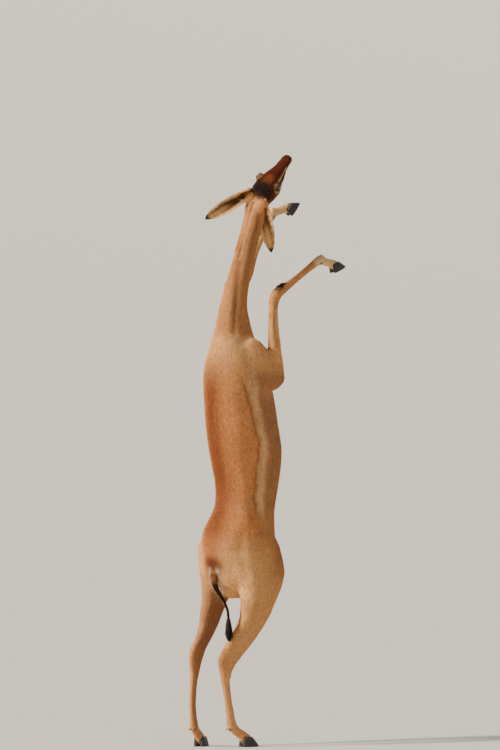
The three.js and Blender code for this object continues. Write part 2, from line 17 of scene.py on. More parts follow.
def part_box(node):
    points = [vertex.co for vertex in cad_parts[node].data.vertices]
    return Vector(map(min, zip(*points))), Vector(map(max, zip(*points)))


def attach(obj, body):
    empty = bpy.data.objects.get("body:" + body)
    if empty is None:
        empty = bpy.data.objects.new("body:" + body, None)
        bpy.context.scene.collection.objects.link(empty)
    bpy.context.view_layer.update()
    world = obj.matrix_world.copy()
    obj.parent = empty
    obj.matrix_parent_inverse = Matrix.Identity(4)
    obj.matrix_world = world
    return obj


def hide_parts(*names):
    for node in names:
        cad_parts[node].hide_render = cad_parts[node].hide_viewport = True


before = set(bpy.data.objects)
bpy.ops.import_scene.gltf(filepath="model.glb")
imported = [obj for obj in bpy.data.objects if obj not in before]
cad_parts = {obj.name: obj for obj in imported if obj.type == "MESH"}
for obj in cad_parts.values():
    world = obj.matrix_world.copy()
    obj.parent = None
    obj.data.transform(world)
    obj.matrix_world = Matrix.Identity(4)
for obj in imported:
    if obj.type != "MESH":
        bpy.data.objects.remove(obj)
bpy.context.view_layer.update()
mm = 0.001
WELD = 1e-6

# %% [markdown]
# ## Places on the animal
# The landmarks below were measured from a point on the floor under the neck, in millimetres. The frame's
# origin is under the middle of the whole box, so one shift brings them over. The right eye is a ball
# whose middle is known in both, so the shift is read from it and holds if the box ever grows.

# %% The shift and the head's own directions
HEAD_MIDDLE = np.array([41.0, 91.0, 1981.0])
HEADING, RAISE, ROLL = (math.radians(a) for a in (27, 54, 55))
EYE_PLACE = (34, 4, -24)
EYE_RADIUS = 15.0

head_forward = np.array([
    math.sin(HEADING) * math.cos(RAISE), math.cos(HEADING) * math.cos(RAISE), math.sin(RAISE)])
level_right = np.array([math.cos(HEADING), -math.sin(HEADING), 0.0])
head_right = (level_right * math.cos(ROLL)
              + np.cross(head_forward, level_right) * math.sin(ROLL))
head_up = np.cross(head_right, head_forward)


def in_head(right, forward, up):
    """A point given in the head's own directions, in millimetres from the floor under the neck."""
    return HEAD_MIDDLE + right * head_right + forward * head_forward + up * head_up


low, high = (np.array(corner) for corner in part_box("eye_right"))
shift = (low + high) / 2 / mm - in_head(*EYE_PLACE)


def place(point):
    """Landmark millimetres to frame metres."""
    return (np.asarray(point, float) + shift) * mm


print("shift", shift.round(2))


# %% Helpers for meshes
def new_object(name, mesh):
    thing = bpy.data.objects.new(name, mesh)
    bpy.context.scene.collection.objects.link(thing)
    return thing


def smoothly(mesh):
    mesh.polygons.foreach_set("use_smooth", [True] * len(mesh.polygons))
    return mesh


def mesh_from(name, points, faces):
    mesh = bpy.data.meshes.new(name)
    mesh.from_pydata([tuple(p) for p in points], [], [tuple(f) for f in faces])
    mesh.update()
    return mesh


def points_of(mesh, field="co"):
    values = np.empty(len(mesh.vertices) * 3)
    mesh.vertices.foreach_get(field, values)
    return values.reshape(-1, 3)


def normals_of(mesh):
    return points_of(mesh, "normal")


def edges_of(mesh):
    """The two ends of every edge, as the numbers of its points."""
    ends = np.empty(len(mesh.edges) * 2, int)
    mesh.edges.foreach_get("vertices", ends)
    return ends.reshape(-1, 2)


def put_points(mesh, points):
    mesh.vertices.foreach_set("co", np.asarray(points, float).ravel())
    mesh.update()


def welded(mesh):
    """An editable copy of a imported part, with the points that lie on each other merged."""
    work = bmesh.new()
    work.from_mesh(mesh)
    bmesh.ops.remove_doubles(work, verts=work.verts, dist=WELD)
    return work


def joined(things):
    """Joins objects into the first of them."""
    with bpy.context.temp_override(active_object=things[0], object=things[0], selected_objects=things,
                                   selected_editable_objects=things):
        bpy.ops.object.join()
    return things[0]


def finished(thing, name):
    """The evaluated shape as a plain mesh, in a new object with no modifiers."""
    graph = bpy.context.evaluated_depsgraph_get()
    mesh = bpy.data.meshes.new_from_object(thing.evaluated_get(graph), depsgraph=graph)
    mesh.name = name
    bpy.data.objects.remove(thing)
    return new_object(name, mesh)


def unit(way):
    return way / np.linalg.norm(way)


def step(value, start, end):
    """0 before start, 1 after end, with an easy curve between."""
    t = np.clip((value - start) / (end - start), 0, 1)
    return t * t * (3 - 2 * t)


def near_line(points, line, radius):
    """How near each point is to a polyline or a single point, 1 on it and 0 past the radius."""
    best = np.full(len(points), 1e9)
    for a, b in zip(line[:-1] or line, line[1:] or line):
        a, b = np.asarray(a, float), np.asarray(b, float)
        way = b - a
        t = np.clip(((points - a) @ way) / max(way @ way, 1e-9), 0, 1)
        best = np.minimum(best, np.linalg.norm(points - (a + t[:, None] * way), axis=1))
    return 1 - step(best, 0, radius)


def near_spot(points, spot, inner, outer):
    """1 within the inner distance of a point and 0 past the outer."""
    return 1 - step(np.linalg.norm(points - np.asarray(spot, float), axis=1), inner, outer)


def other_side(line):
    """The same line on the animal's other side."""
    return [(-x, y, z) for x, y, z in line]


# %% [markdown]
# ## One skin
# The flesh is packed as about thirty parts with hairline gaps, and a real animal has one hide. A copy of
# every flesh part is joined and remeshed on a fine grid, which closes the gaps. Sculpting by hand would
# also do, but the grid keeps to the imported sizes. The grid's facets are then relaxed: much on the broad
# trunk, little on thin legs, and hardly at all on the lids, lips and ears.

# %% Join the flesh and remesh it
FLESH = [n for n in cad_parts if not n.startswith(("hoof", "eye")) and n != "tail_tuft"]
GRID = 2.1 * mm

parts = []
for name in FLESH:
    copy = new_object("flesh_" + name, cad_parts[name].data.copy())
    merged = welded(copy.data)
    merged.to_mesh(copy.data)
    merged.free()
    parts.append(copy)

triangle_part = []
all_points, all_faces = [], []
for index, copy in enumerate(parts):
    start = sum(len(p) for p in all_points)
    all_points.append(points_of(copy.data))
    for face in copy.data.polygons:
        all_faces.append([start + v for v in face.vertices])
        triangle_part.append(index)
flesh_tree = BVHTree.FromPolygons([tuple(p) for p in np.concatenate(all_points)], all_faces)

raw = joined(parts)
raw.data.materials.clear()
remesh = raw.modifiers.new("grid", "REMESH")
remesh.mode = "VOXEL"
remesh.voxel_size = GRID
skin = finished(raw, "skin")
print("remeshed points", len(skin.data.vertices))


# %% Keep only the outer shell
def keep_largest(mesh):
    """Drops loose shells left inside where two parts met."""
    ends = edges_of(mesh)
    label = np.arange(len(mesh.vertices))
    while True:
        smaller = np.minimum(label[ends[:, 0]], label[ends[:, 1]])
        fresh = label.copy()
        np.minimum.at(fresh, ends[:, 0], smaller)
        np.minimum.at(fresh, ends[:, 1], smaller)
        fresh = fresh[fresh]
        if (fresh == label).all():
            break
        label = fresh
    names, sizes = np.unique(label, return_counts=True)
    main = names[sizes.argmax()]
    if len(names) > 1:
        work = bmesh.new()
        work.from_mesh(mesh)
        work.verts.ensure_lookup_table()
        stray = [work.verts[i] for i in np.nonzero(label != main)[0]]
        bmesh.ops.delete(work, geom=stray, context="VERTS")
        work.to_mesh(mesh)
        work.free()
    return len(names) - 1


print("stray shells dropped", keep_largest(skin.data))


# %% Which part each point of the skin lies on
def part_of_points(points):
    found = np.zeros(len(points), int)
    for i, p in enumerate(points):
        hit = flesh_tree.find_nearest(p)
        found[i] = triangle_part[hit[2]]
    return found


class Surface:
    """The edges of a mesh as arrays, so that values can be spread over it quickly."""

    def __init__(self, mesh):
        ends = edges_of(mesh)
        self.a = np.concatenate([ends[:, 0], ends[:, 1]])
        self.b = np.concatenate([ends[:, 1], ends[:, 0]])
        self.count = len(mesh.vertices)
        self.degree = np.maximum(np.bincount(self.a, minlength=self.count), 1)

    def mean(self, values):
        """The mean of the values at each point's neighbours."""
        if values.ndim == 1:
            return np.bincount(self.a, values[self.b], self.count) / self.degree
        return np.stack([self.mean(values[:, k]) for k in range(values.shape[1])], 1)

    def spread(self, values, times):
        """Blends each value with its neighbours' a number of times, for a soft edge between parts."""
        for _ in range(times):
            values = 0.5 * values + 0.5 * self.mean(values)
        return values


# How strongly each part's facets are relaxed, from 0 to 1, with 1 for the broad trunk.
RELAX = {"head": 0.035, "ear": 0.045, "neck_upper": 0.5, "neck_lower": 0.7, "chest": 1, "belly": 1,
         "rump": 1, "shoulder": 0.8, "thigh": 0.9, "forearm": 0.35, "shank": 0.4, "hock": 0.28,
         "knee": 0.16, "cannon": 0.14, "pastern": 0.1, "tail": 0.1}
RELAX_ROUNDS = 150


def by_part(found, table, other=0.0):
    """The table's value for the part that each point lies on, where the longer name wins."""
    values = np.full(len(found), other)
    for index, name in enumerate(FLESH):
        for key in sorted(table, key=len):
            if name.startswith(key):
                values[found == index] = table[key]
    return values


surface = Surface(skin.data)
points = points_of(skin.data)
found = part_of_points(points)
ease = surface.spread(by_part(found, RELAX), 25)
for _ in range(RELAX_ROUNDS):
    points += ease[:, None] * 0.5 * (surface.mean(points) - points)
put_points(skin.data, points)
print("relaxed", len(points), "points")

# %% [markdown]
# ## Muscle, bone and sinew
# Under a short coat the animal's build shows: the shoulder blade, the long neck muscles, the hip and
# thigh, the cord of the heel, and the bones of knee and fetlock. A multires sculpt could give these. Here
# each one is a soft swelling or hollow along a short line, pushed along the skin's own direction, because
# a line of landmarks is easy to read and to move.

# %% Swellings and hollows, in landmark millimetres: height, reach, line
def both_sides(height, reach, line):
    return [(height, reach, line), (height, reach, other_side(line))]


FORMS = []
for form in [(3.0, 34, [(70, -80, 1270), (60, -60, 1370)]),
             (-3.0, 26, [(98, -20, 1190), (99, 10, 1230)]),
             (-2.4, 20, [(30, -105, 1330), (22, -92, 1425)]),
             (-2.5, 30, [(60, -62, 1440), (46, -40, 1500)]),
             (-2.4, 9, [(10, 50, 1900), (8, 14, 1815), (7, -8, 1757), (9, -24, 1715)]),
             (-2.6, 16, [(20, -22, 1730), (25, -44, 1659), (33, -64, 1560), (47, -88, 1456)]),
             (-2.0, 13, [(36, 40, 1800), (42, -4, 1660), (48, -30, 1560)]),
             (3.2, 30, [(74, -60, 800), (86, -30, 770)]),
             (-3.4, 34, [(84, 60, 830), (84, 80, 880)]),
             (-2.2, 30, [(60, -100, 860), (64, -96, 930)]),
             (2.4, 30, [(104, 10, 700), (112, 24, 620)]),
             (-2.8, 24, [(110, 70, 700), (108, 90, 640)]),
             (-2.4, 22, [(92, -92, 690), (100, -84, 600)])]:
    FORMS += both_sides(*form)
FORMS += [(-3.0, 15, [(0, -158, 850), (0, -146, 960), (0, -158, 1080), (0, -160, 1200)]),
          (2.2, 12, [(14, -152, 900), (14, -160, 1100), (14, -160, 1200)]),
          (2.2, 12, [(-14, -152, 900), (-14, -160, 1100), (-14, -160, 1200)])]
RIBS, TOP_RIB, RIB_APART = 7, 1205, 34
for rib in range(RIBS):
    height = TOP_RIB - RIB_APART * rib
    FORMS += both_sides(0.9, 13, [(88, -70, height + 30), (97, 0, height), (88, 70, height - 26)])
# The heel cords and the hollows in front of them, then the bones of the hocks, knees and fetlocks.
FORMS += [(-3.6, 13, [(72, -52, 440), (50, -86, 368), (42, -96, 330)]),
          (-3.6, 13, [(34, -40, 440), (24, -74, 368), (22, -92, 330)]),
          (1.6, 10, [(58, -92, 420), (40, -140, 345), (34, -150, 312)]),
          (-3.2, 12, [(-84, -70, 430), (-88, -98, 368), (-88, -112, 330)]),
          (-3.2, 12, [(-124, -74, 430), (-124, -100, 368), (-122, -112, 330)]),
          (1.6, 10, [(-104, -122, 420), (-112, -150, 345), (-112, -158, 314)]),
          (1.4, 12, [(20, -100, 276)]), (1.4, 12, [(50, -116, 276)]),
          (1.4, 12, [(-86, -124, 274)]), (1.4, 12, [(-118, -130, 274)]),
          (-1.5, 9, [(34, -98, 240), (22, -74, 150)]), (-1.5, 9, [(14, -114, 240), (2, -88, 150)]),
          (-1.5, 9, [(-88, -140, 230), (-86, -146, 130)]), (-1.5, 9, [(-111, -140, 230), (-109, -146, 130)]),
          (1.6, 12, [(107, 82, 1574)]), (1.6, 12, [(75, 82, 1574)]),
          (1.6, 12, [(-55, 116, 1664)]), (1.6, 12, [(-88, 116, 1664)]),
          (-1.6, 10, [(106, 130, 1604), (108, 200, 1646)]), (-1.6, 10, [(82, 140, 1610), (86, 210, 1652)]),
          (-1.8, 12, [(110, 70, 1430), (104, 68, 1520)]), (-1.8, 12, [(74, 80, 1430), (74, 74, 1520)]),
          (2.6, 22, [(100, 100, 1290)]), (2.6, 20, [(-96, 80, 1400)])]
# The head: brows, cheek muscles, the groove beside the nose, the chin and the jaw's edge.
HEAD_FORMS = [(2.2, 12, [(30, 16, -2), (38, 6, -4), (36, -8, -4)]),
              (1.8, 15, [(38, -30, -44), (34, -8, -56)]), (-1.8, 11, [(27, 46, -36), (22, 74, -44)]),
              (3.4, 18, [(30, -84, -6), (26, -90, -14)]), (-1.6, 9, [(38, 12, -44), (30, 36, -54)]),
              (1.2, 10, [(16, 116, -60)]), (-1.6, 13, [(14, -30, 6)]), (1.4, 9, [(17, 112, -40)]),
              (-2.0, 13, [(30, -52, -70), (30, -26, -78)]), (-1.2, 9, [(21, 96, -57), (24, 80, -60)])]
for amount, reach, line in HEAD_FORMS:
    for side in (1, -1):
        FORMS.append((amount, reach, [in_head(side * r, f, u) for r, f, u in line]))

# %% Push the skin, then sink it by the depth of the coat
COAT_DEPTH = {"head": 0.9, "ear": 0.35, "neck": 1.8, "chest": 2.0, "belly": 2.0, "rump": 2.0,
              "shoulder": 1.8, "thigh": 1.8, "forearm": 1.3, "shank": 1.2, "hock": 1.0, "knee": 1.0,
              "cannon": 0.8, "pastern": 0.8, "tail": 0.9}
depth = surface.spread(by_part(found, COAT_DEPTH), 20)
marks = points / mm - shift
push = -depth
# Hollows are deepened, because the coat fills them again, and every form fades out past its reach.
HOLLOWS, FADE = 1.6, 1.5
for amount, reach, line in FORMS:
    amount *= HOLLOWS if amount < 0 else 1
    push += amount * near_line(marks, line, reach * FADE)
normals = normals_of(skin.data)
points = points + normals * (push * mm)[:, None]
put_points(skin.data, points)
print("pushed from", round(push.min(), 2), "to", round(push.max(), 2), "mm")

# %% [markdown]
# ## Fewer faces where the form is broad
# The grid has far more faces than the trunk needs. Decimate collapses them, and a vertex group keeps the
# head, ears, knees and feet fine.

# %% Thin the trunk's faces
FINE = {"head": 1.0, "ear": 1.0, "knee": 0.6, "pastern": 0.7, "tail": 0.6, "hock": 0.35, "cannon": 0.35,
        "neck_upper": 0.3}
SKIN_TRIANGLES = 188000
group = skin.vertex_groups.new(name="fine")
fine = surface.spread(by_part(found, FINE, 0.12), 6)
LEVELS = 10
for level in range(LEVELS + 1):
    chosen = np.nonzero(np.round(fine * LEVELS) == level)[0]
    if len(chosen):
        group.add(chosen.tolist(), level / LEVELS, "REPLACE")
skin.data.calc_loop_triangles()
thin = skin.modifiers.new("thin", "DECIMATE")
thin.ratio = SKIN_TRIANGLES / len(skin.data.loop_triangles)
thin.vertex_group = "fine"
thin.invert_vertex_group = True
thin.vertex_group_factor = 4.0
skin = finished(skin, "skin")
skin.vertex_groups.clear()
smoothly(skin.data)
surface = Surface(skin.data)
points = points_of(skin.data)
marks = points / mm - shift
found = part_of_points(points)
print("skin triangles", sum(len(f.vertices) - 2 for f in skin.data.polygons))

# %% [markdown]
# ## The lie of the coat
# Hair points away from the nose: back over the head, down the neck and trunk, and out along each leg to
# the hoof. Each part gets the direction of its bone, and the directions are then blended over the skin
# and laid flat on it. Combing particle hair would do this by hand, but a plain list keeps it repeatable.

# %% The direction of each part's hair
UP_LEG_RIGHT = (0.0, 0.85, 0.53)
UP_LEG_LEFT = (0.06, 0.5, 0.86)
LIE = {"head": tuple(-head_forward), "neck_upper": (0.0, -0.34, -0.94), "neck_lower": (0.0, -0.25, -0.97),
       "chest": (0, -0.02, -1), "belly": (0, 0.02, -1), "rump": (0, -0.1, -1),
       "shoulder_right": (0.3, 0.35, -0.88), "shoulder_left": (-0.3, 0.3, -0.9),
       "forearm_right": (0, -0.1, 1), "forearm_left": (0.05, 0.2, 0.98),
       "knee_right": (0, 0.6, 0.8), "knee_left": (0.05, 0.35, 0.93),
       "cannon_front_right": UP_LEG_RIGHT, "cannon_front_left": UP_LEG_LEFT,
       "pastern_front_right": (0, 0.97, 0.2), "pastern_front_left": (0.1, 0.8, 0.6),
       "thigh_right": (0.08, -0.1, -1), "thigh_left": (-0.12, -0.2, -1),
       "shank_right": (-0.2, -0.5, -0.85), "shank_left": (-0.05, -0.4, -0.9),
       "hock": (0, -0.1, -1), "cannon_hind": (-0.05, 0.1, -1), "pastern_hind": (0, 0.4, -0.9),
       "tail": (0.3, 0.1, -1)}
# Each ear's root, and the ways it points and opens, in the head's right, forward and up.
EAR_SWING = {"ear_right": ((29, -76, -8), (96, -110, -94), (0.25, 0, 1)),
             "ear_left": ((-34, -68, -8), (-86, -157, -18), (0.05, -0.45, 0.8))}
head_ways = np.stack([head_right, head_forward, head_up])
EARS = {}
for name, (root, along, opening) in EAR_SWING.items():
    along = unit(np.array(along) @ head_ways)
    opening = np.array(opening) @ head_ways
    EARS[name] = (in_head(*root), along, unit(opening - along * (opening @ along)))
    LIE[name] = tuple(along)

lie = np.zeros((len(points), 3))
for index, name in enumerate(FLESH):
    for key in sorted(LIE, key=len):
        if name.startswith(key):
            lie[found == index] = unit(np.array(LIE[key], float))
lie = surface.spread(lie, 60)
normals = normals_of(skin.data)
lie -= normals * (lie * normals).sum(1)[:, None]
lie /= np.maximum(np.linalg.norm(lie, axis=1), 1e-6)[:, None]
lie = surface.spread(lie, 4)
print("lie of the coat on", len(lie), "points")

# %% [markdown]
# ## Markings
# A gerenuk is tan, with a deep red-brown saddle along its back that ends in a dark edge high on the
# flank. Below it runs a paler band. The belly is white, and the throat and pasterns are cream. The knees,
# the tail's end and the crown are blackish, the eye ring is cream, and the lips and chin are white. A
# picture wrapped on the skin would look flat from behind, so each marking is a soft-edged mask worked out
# from where a point is on the body, kept as a colour on the points, and shared by skin and coat. Some
# masks paint light and shade as well: a lit left side and a shaded right side on the neck, shade in the
# neck's grooves, the leg hollows, the ears, the flank and on the inner and far legs, and highlights on
# the shoulder ridges and the forehead.


# %% Palette
def paint(red, green, blue):
    """A screen colour from 0 to 255 as the linear values that the shaders use."""
    return np.array([((c / 255 + 0.055) / 1.055) ** 2.4 if c > 10 else c / 255 / 12.92
                     for c in (red, green, blue)])


# Beside the coat's own colours, some of these also stand in for light and shade: buff for the lit side of the
# neck, cream and rufous for highlights, and the flank brown, the saddle's edge colour, the ear's dark and the
# shaded brown for painted shade.
TAN, BUFF_AND_PAINTED_LIGHT, CREAM_AND_HIGHLIGHT = paint(198, 138, 84), paint(224, 172, 112), paint(226, 190, 140)
WHITE, SADDLE, SADDLE_EDGE_AND_CREASE_SHADE = paint(240, 230, 212), paint(204, 136, 80), paint(96, 54, 32)
RUFOUS_AND_HIGHLIGHT, BACK_RED, RED_BROWN = paint(168, 100, 54), paint(108, 48, 18), paint(82, 34, 17)
BLACKISH, EAR_BACK, EAR_DARK_AND_SHADE = paint(22, 14, 10), paint(190, 150, 102), paint(66, 42, 28)
FLANK_AND_SHADE, SHADED = paint(150, 102, 70), paint(132, 88, 62)


def blend(colours, new, amount):
    return colours + (new - colours) * np.clip(amount, 0, 1)[:, None]


def where(*names):
    """1 on the named parts of the skin, with a soft edge."""
    inside = np.zeros(len(found))
    for index, name in enumerate(FLESH):
        if name.startswith(names):
            inside[found == index] = 1
    return surface.spread(inside, 3)


def dab(colour, amount):
    """Lays a colour over the skin's tint, as strongly at each point as the amount says."""
    global tint
    tint = blend(tint, colour, amount)


def near_either(line, reach, other=None):
    """How near each point is to a line or to its fellow, which is its mirror image unless given."""
    return np.maximum(near_line(marks, line, reach), near_line(marks, other or other_side(line), reach))


def stripe(colour, strength, reach, line, mirrored=True, fade=(0, 1)):
    """Paints a soft line, and its mirror image on the left side, fading out between two heights."""
    amount = near_either(line, reach) if mirrored else near_line(marks, line, reach)
    dab(colour, strength * amount * step(marks[:, 2], *fade))


# %% Trunk and neck markings, with painted light and shade on the neck and shoulders
# Height, then how far forward of the floor point the saddle's edge lies, in millimetres.
SADDLE_LINE = [(700, 12), (760, 2), (843, -6), (882, -14), (941, -8), (1022, -5), (1085, -10), (1155, -36),
               (1246, -66), (1300, -88), (1360, -120)]
x, y, z = marks.T
facing = normals
trunk = where("chest", "belly", "rump", "shoulder", "thigh")
heights, edges = (np.array(column, float) for column in zip(*SADDLE_LINE))
edge = np.interp(z, heights, edges) + 3 * np.sin(z / 23) + 2 * np.sin(z / 9 + 1)
saddle = step(edge - y, -7, 9) * (0.25 + 0.75 * step(z, 620, 860)) * (1 - step(z, 1150, 1400))
spine = (1 - step(np.abs(x + 6), 10, 74)) * step(-facing[:, 1], 0.0, 0.6)
tint = np.tile(TAN, (len(points), 1))
dab(BUFF_AND_PAINTED_LIGHT, 0.5 * trunk * step(z, 1260, 1400))
dab(SADDLE, saddle * trunk)
dab(BACK_RED, 0.85 * spine * trunk * step(z, 600, 720) * (1 - step(z, 1230, 1440)))
rim = np.exp(-((edge - y - 5) / 6) ** 2) * step(z, 800, 860) * (1 - step(z, 1240, 1330))
dab(SADDLE_EDGE_AND_CREASE_SHADE, 0.62 * rim * trunk * step(np.abs(x), 40, 60))
band = np.exp(-((y - edge - 24) / 16) ** 2) * step(z, 800, 850) * (1 - step(z, 1250, 1330))
dab(CREAM_AND_HIGHLIGHT, 0.55 * band * trunk * step(np.abs(x), 40, 60))
# Below the band the flank is darker brown, partly its own colour and partly painted shade.
flank = step(y - edge, 34, 62) * step(z, 790, 850) * (1 - step(z, 1290, 1340))
dab(FLANK_AND_SHADE, 0.7 * flank * trunk)
belly = step(facing[:, 1], 0.55, 0.8) * step(y, 50, 100) * (1 - step(z, 1330, 1440)) * step(z, 600, 700)
dab(WHITE, belly * where("chest", "belly", "rump"))
# A painted highlight along the ridge of each shoulder blade, then painted shadow along its rear edge.
stripe(CREAM_AND_HIGHLIGHT, 0.45, 26, [(50, -76, 1430), (66, -58, 1370), (84, -34, 1300), (92, -20, 1250)])
stripe(SHADED, 0.5, 10, [(74, -66, 1350), (80, -57, 1326), (86, -46, 1280), (90, -37, 1232)])
stripe(RUFOUS_AND_HIGHLIGHT, 0.4, 20, [(30, -150, 1210), (34, -138, 1290), (30, -116, 1360), (26, -98, 1430)])
neck = where("neck")
throat = neck * step(facing[:, 1], 0.55, 0.9) * step(z, 1480, 1600)
dab(CREAM_AND_HIGHLIGHT, 0.7 * throat)
# Painted light on the left side of the neck, which faces the lamp, and painted shade on its right side.
dab(BUFF_AND_PAINTED_LIGHT, 0.5 * neck * step(-facing[:, 0], 0.2, 0.8))
dab(FLANK_AND_SHADE, 0.34 * neck * step(facing[:, 0], 0.1, 0.7))
# Painted shade along the grooves of the neck.
stripe(SADDLE_EDGE_AND_CREASE_SHADE, 0.85, 9, [(10, 50, 1905), (9, 44, 1890), (8, 14, 1815), (7, -8, 1757), (9, -22, 1722)])
stripe(SHADED, 0.8, 17, [(20, -22, 1730), (25, -44, 1659), (33, -64, 1560), (47, -88, 1456),
                         (52, -100, 1400)], fade=(1400, 1540))
stripe(SHADED, 0.7, 17, [(33, 60, 1860), (37, 30, 1770), (42, -4, 1660), (48, -30, 1560)], fade=(1500, 1640))
stripe(RUFOUS_AND_HIGHLIGHT, 0.4, 9, [(0, -12, 1760), (0, -50, 1660), (0, -84, 1560), (0, -116, 1450)], False)
print("saddle covers", round(float((saddle * trunk).mean()), 3), "of the points")

# %% Rump, tail and leg markings, with painted shade on the inner and far legs and in leg hollows
rump = where("rump", "thigh")
dab(BUFF_AND_PAINTED_LIGHT, 0.75 * rump * step(720 - z, -60, 60) * step(-y, -60, 60))
dab(FLANK_AND_SHADE, 0.5 * rump * step(y, 20, 90) * step(z, 560, 660))
seat = (1 - step(np.abs(x + 8), 16, 66)) * step(-facing[:, 1], 0.1, 0.7) * step(z, 560, 640)
dab(RUFOUS_AND_HIGHLIGHT, 0.75 * rump * seat * (1 - step(z, 720, 860)))
tail_root = near_spot(marks, (0, -142, 646), 18, 58)
dab(RED_BROWN, 0.85 * tail_root * rump)
white_rump = near_either([(17, -138, 636), (17, -128, 596), (15, -112, 560)], 15)
dab(WHITE, 0.8 * white_rump * rump)
tail = where("tail")
dab(BLACKISH, tail * step(622 - z, 0, 50))
tail_side = near_line(marks, [(-6, -146, 604), (4, -146, 560), (28, -133, 518), (46, -129, 483)], 9)
dab(CREAM_AND_HIGHLIGHT, 0.7 * tail * tail_side)
dab(RED_BROWN, 0.7 * tail * step(z - 585, 0, 30))
shank = where("shank", "hock", "cannon_hind", "pastern_hind", "thigh") * (1 - step(z, 540, 640))
outer = np.where(x > -30, facing[:, 0], -facing[:, 0])
dab(BUFF_AND_PAINTED_LIGHT, 0.35 * shank)
dab(SHADED, 0.6 * shank * step(-outer, 0.0, 0.7))
dab(SHADED, 0.45 * where("thigh_left", "shank_left") * (1 - step(z, 560, 640)))
dab(RUFOUS_AND_HIGHLIGHT, 0.4 * where("cannon_hind", "hock") * step(facing[:, 1], 0.0, 0.6))
dab(CREAM_AND_HIGHLIGHT, 0.4 * where("pastern_hind") * step(facing[:, 1], 0.1, 0.7))
hock = near_either([(40, -150, 345), (32, -138, 290)], 30, [(-112, -160, 345), (-108, -150, 290)])
dab(RUFOUS_AND_HIGHLIGHT, 0.55 * hock)
# Painted shade in the hollow in front of the right heel cord.
stripe(SADDLE_EDGE_AND_CREASE_SHADE, 0.35, 9, [(70, -50, 440), (50, -84, 368), (40, -98, 328)], False)
forearm = where("forearm")
dab(BUFF_AND_PAINTED_LIGHT, 0.55 * forearm)
dab(CREAM_AND_HIGHLIGHT, 0.35 * forearm * step(facing[:, 1], 0.0, 0.6))
# Painted shade in the groove down the right forearm.
stripe(SADDLE_EDGE_AND_CREASE_SHADE, 0.45, 9, [(110, 62, 1400), (107, 60, 1450), (104, 60, 1500), (104, 64, 1545)], False)
knee = near_either([(91, 84, 1594), (91, 104, 1606)], 19, [(-72, 106, 1664), (-71, 118, 1684)])
front_up = step(facing @ np.array([0, -0.62, 0.79]), -0.1, 0.4)
dab(BLACKISH, 2.4 * knee * where("knee", "cannon_front", "forearm") * front_up)
cannon = where("cannon_front")
dab(RUFOUS_AND_HIGHLIGHT, 0.4 * cannon * step(facing[:, 2], -0.2, 0.5))
dab(BUFF_AND_PAINTED_LIGHT, 0.15 * cannon * step(-facing[:, 2], 0.0, 0.6))
dab(CREAM_AND_HIGHLIGHT, 0.75 * where("pastern_front"))
dab(CREAM_AND_HIGHLIGHT, 0.3 * where("cannon_front_left", "forearm_left"))

# %% Dewclaws: two small dark nails behind each pastern
# Fetlock, how far the toe turns out and how far the foot is tipped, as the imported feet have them.
# The front feet are a little smaller than the hind ones.
FEET = {"hind_right": ((5, -54, 76), 15, 0, 1), "hind_left": ((-96, -140, 76), -20, 0, 1),
        "front_right": ((100, 310, 1706), 4, 22, 0.88), "front_left": ((-62, 238, 1872), 12, 52, 0.88)}
NAIL_OUT, NAIL_BACK, NAIL_DOWN = 11.0, 17.0, 16.0
for name, (fetlock, toe_out, tipped, size) in FEET.items():
    turn, tip_by = math.radians(-toe_out), math.radians(tipped)
    for nail in (-1, 1):
        nail_x, nail_y, nail_z = nail * NAIL_OUT * size, -NAIL_BACK * size, -NAIL_DOWN * size
        tilted = (nail_x, nail_y * math.cos(tip_by) - nail_z * math.sin(tip_by),
                  nail_y * math.sin(tip_by) + nail_z * math.cos(tip_by))
        spot = np.array(fetlock) + (tilted[0] * math.cos(turn) - tilted[1] * math.sin(turn),
                                    tilted[0] * math.sin(turn) + tilted[1] * math.cos(turn), tilted[2])
        dab(BLACKISH, 0.9 * near_spot(marks, spot, 6, 11) * where("pastern_" + name))
print("dewclaws on", len(FEET), "feet")

# %% Head markings and a painted highlight on the forehead, in the head's own directions: side, ahead, up
own = marks - HEAD_MIDDLE
right, ahead, up = own @ head_right, own @ head_forward, own @ head_up
side = np.abs(right)
in_skull = np.stack([side, ahead, up], 1)
head = where("head")
face_up = facing @ head_up
dab(RUFOUS_AND_HIGHLIGHT, 0.8 * head * step(ahead, -80, -40))
dab(RED_BROWN, head * step(face_up, -0.2, 0.4) * step(ahead, -70, -40))
dab(RED_BROWN, 0.85 * head * step(ahead, 30, 60) * step(face_up, -0.5, 0.1))
# A painted highlight on the forehead, where the head faces up.
forehead_highlight = (1 - step(np.hypot(right / 20, (ahead - 6) / 34), 0.3, 1.2)) * step(face_up, 0.3, 0.8)
dab(RUFOUS_AND_HIGHLIGHT, 0.42 * head * forehead_highlight)
behind_eye = near_line(in_skull, [(36, -52, -14), (38, -34, -30), (38, -16, -44)], 15)
dab(BLACKISH, 0.55 * head * behind_eye)
cheek = near_line(in_skull, [(40, -44, -40), (38, -14, -54), (34, 20, -56)], 20)
dab(RED_BROWN, 0.6 * head * cheek)
crown_far = np.hypot(right / 42, (ahead + 34) / 38) + 0.1 * np.sin(right / 5 + 1) * np.sin(ahead / 7)
dab(BLACKISH, 0.94 * head * (1 - step(crown_far, 0.5, 1.25)) * step(face_up, 0.0, 0.4))
jaw = head * step(-face_up, 0.15, 0.6) * step(ahead, -60, -20)
dab(CREAM_AND_HIGHLIGHT, jaw)
dab(WHITE, jaw * step(ahead, 20, 60))
eye_gap = np.linalg.norm(in_skull - np.array([EYE_PLACE]), axis=1)
ring = (1 - step(np.abs(eye_gap - 18.5), 1.0, 3.2)) * (1 - 0.85 * step(face_up, -0.1, 0.4))
dab(CREAM_AND_HIGHLIGHT, 0.8 * head * ring)
tear_line = near_line(in_skull, [(33, 22, -26), (29, 40, -38), (24, 56, -46)], 6)
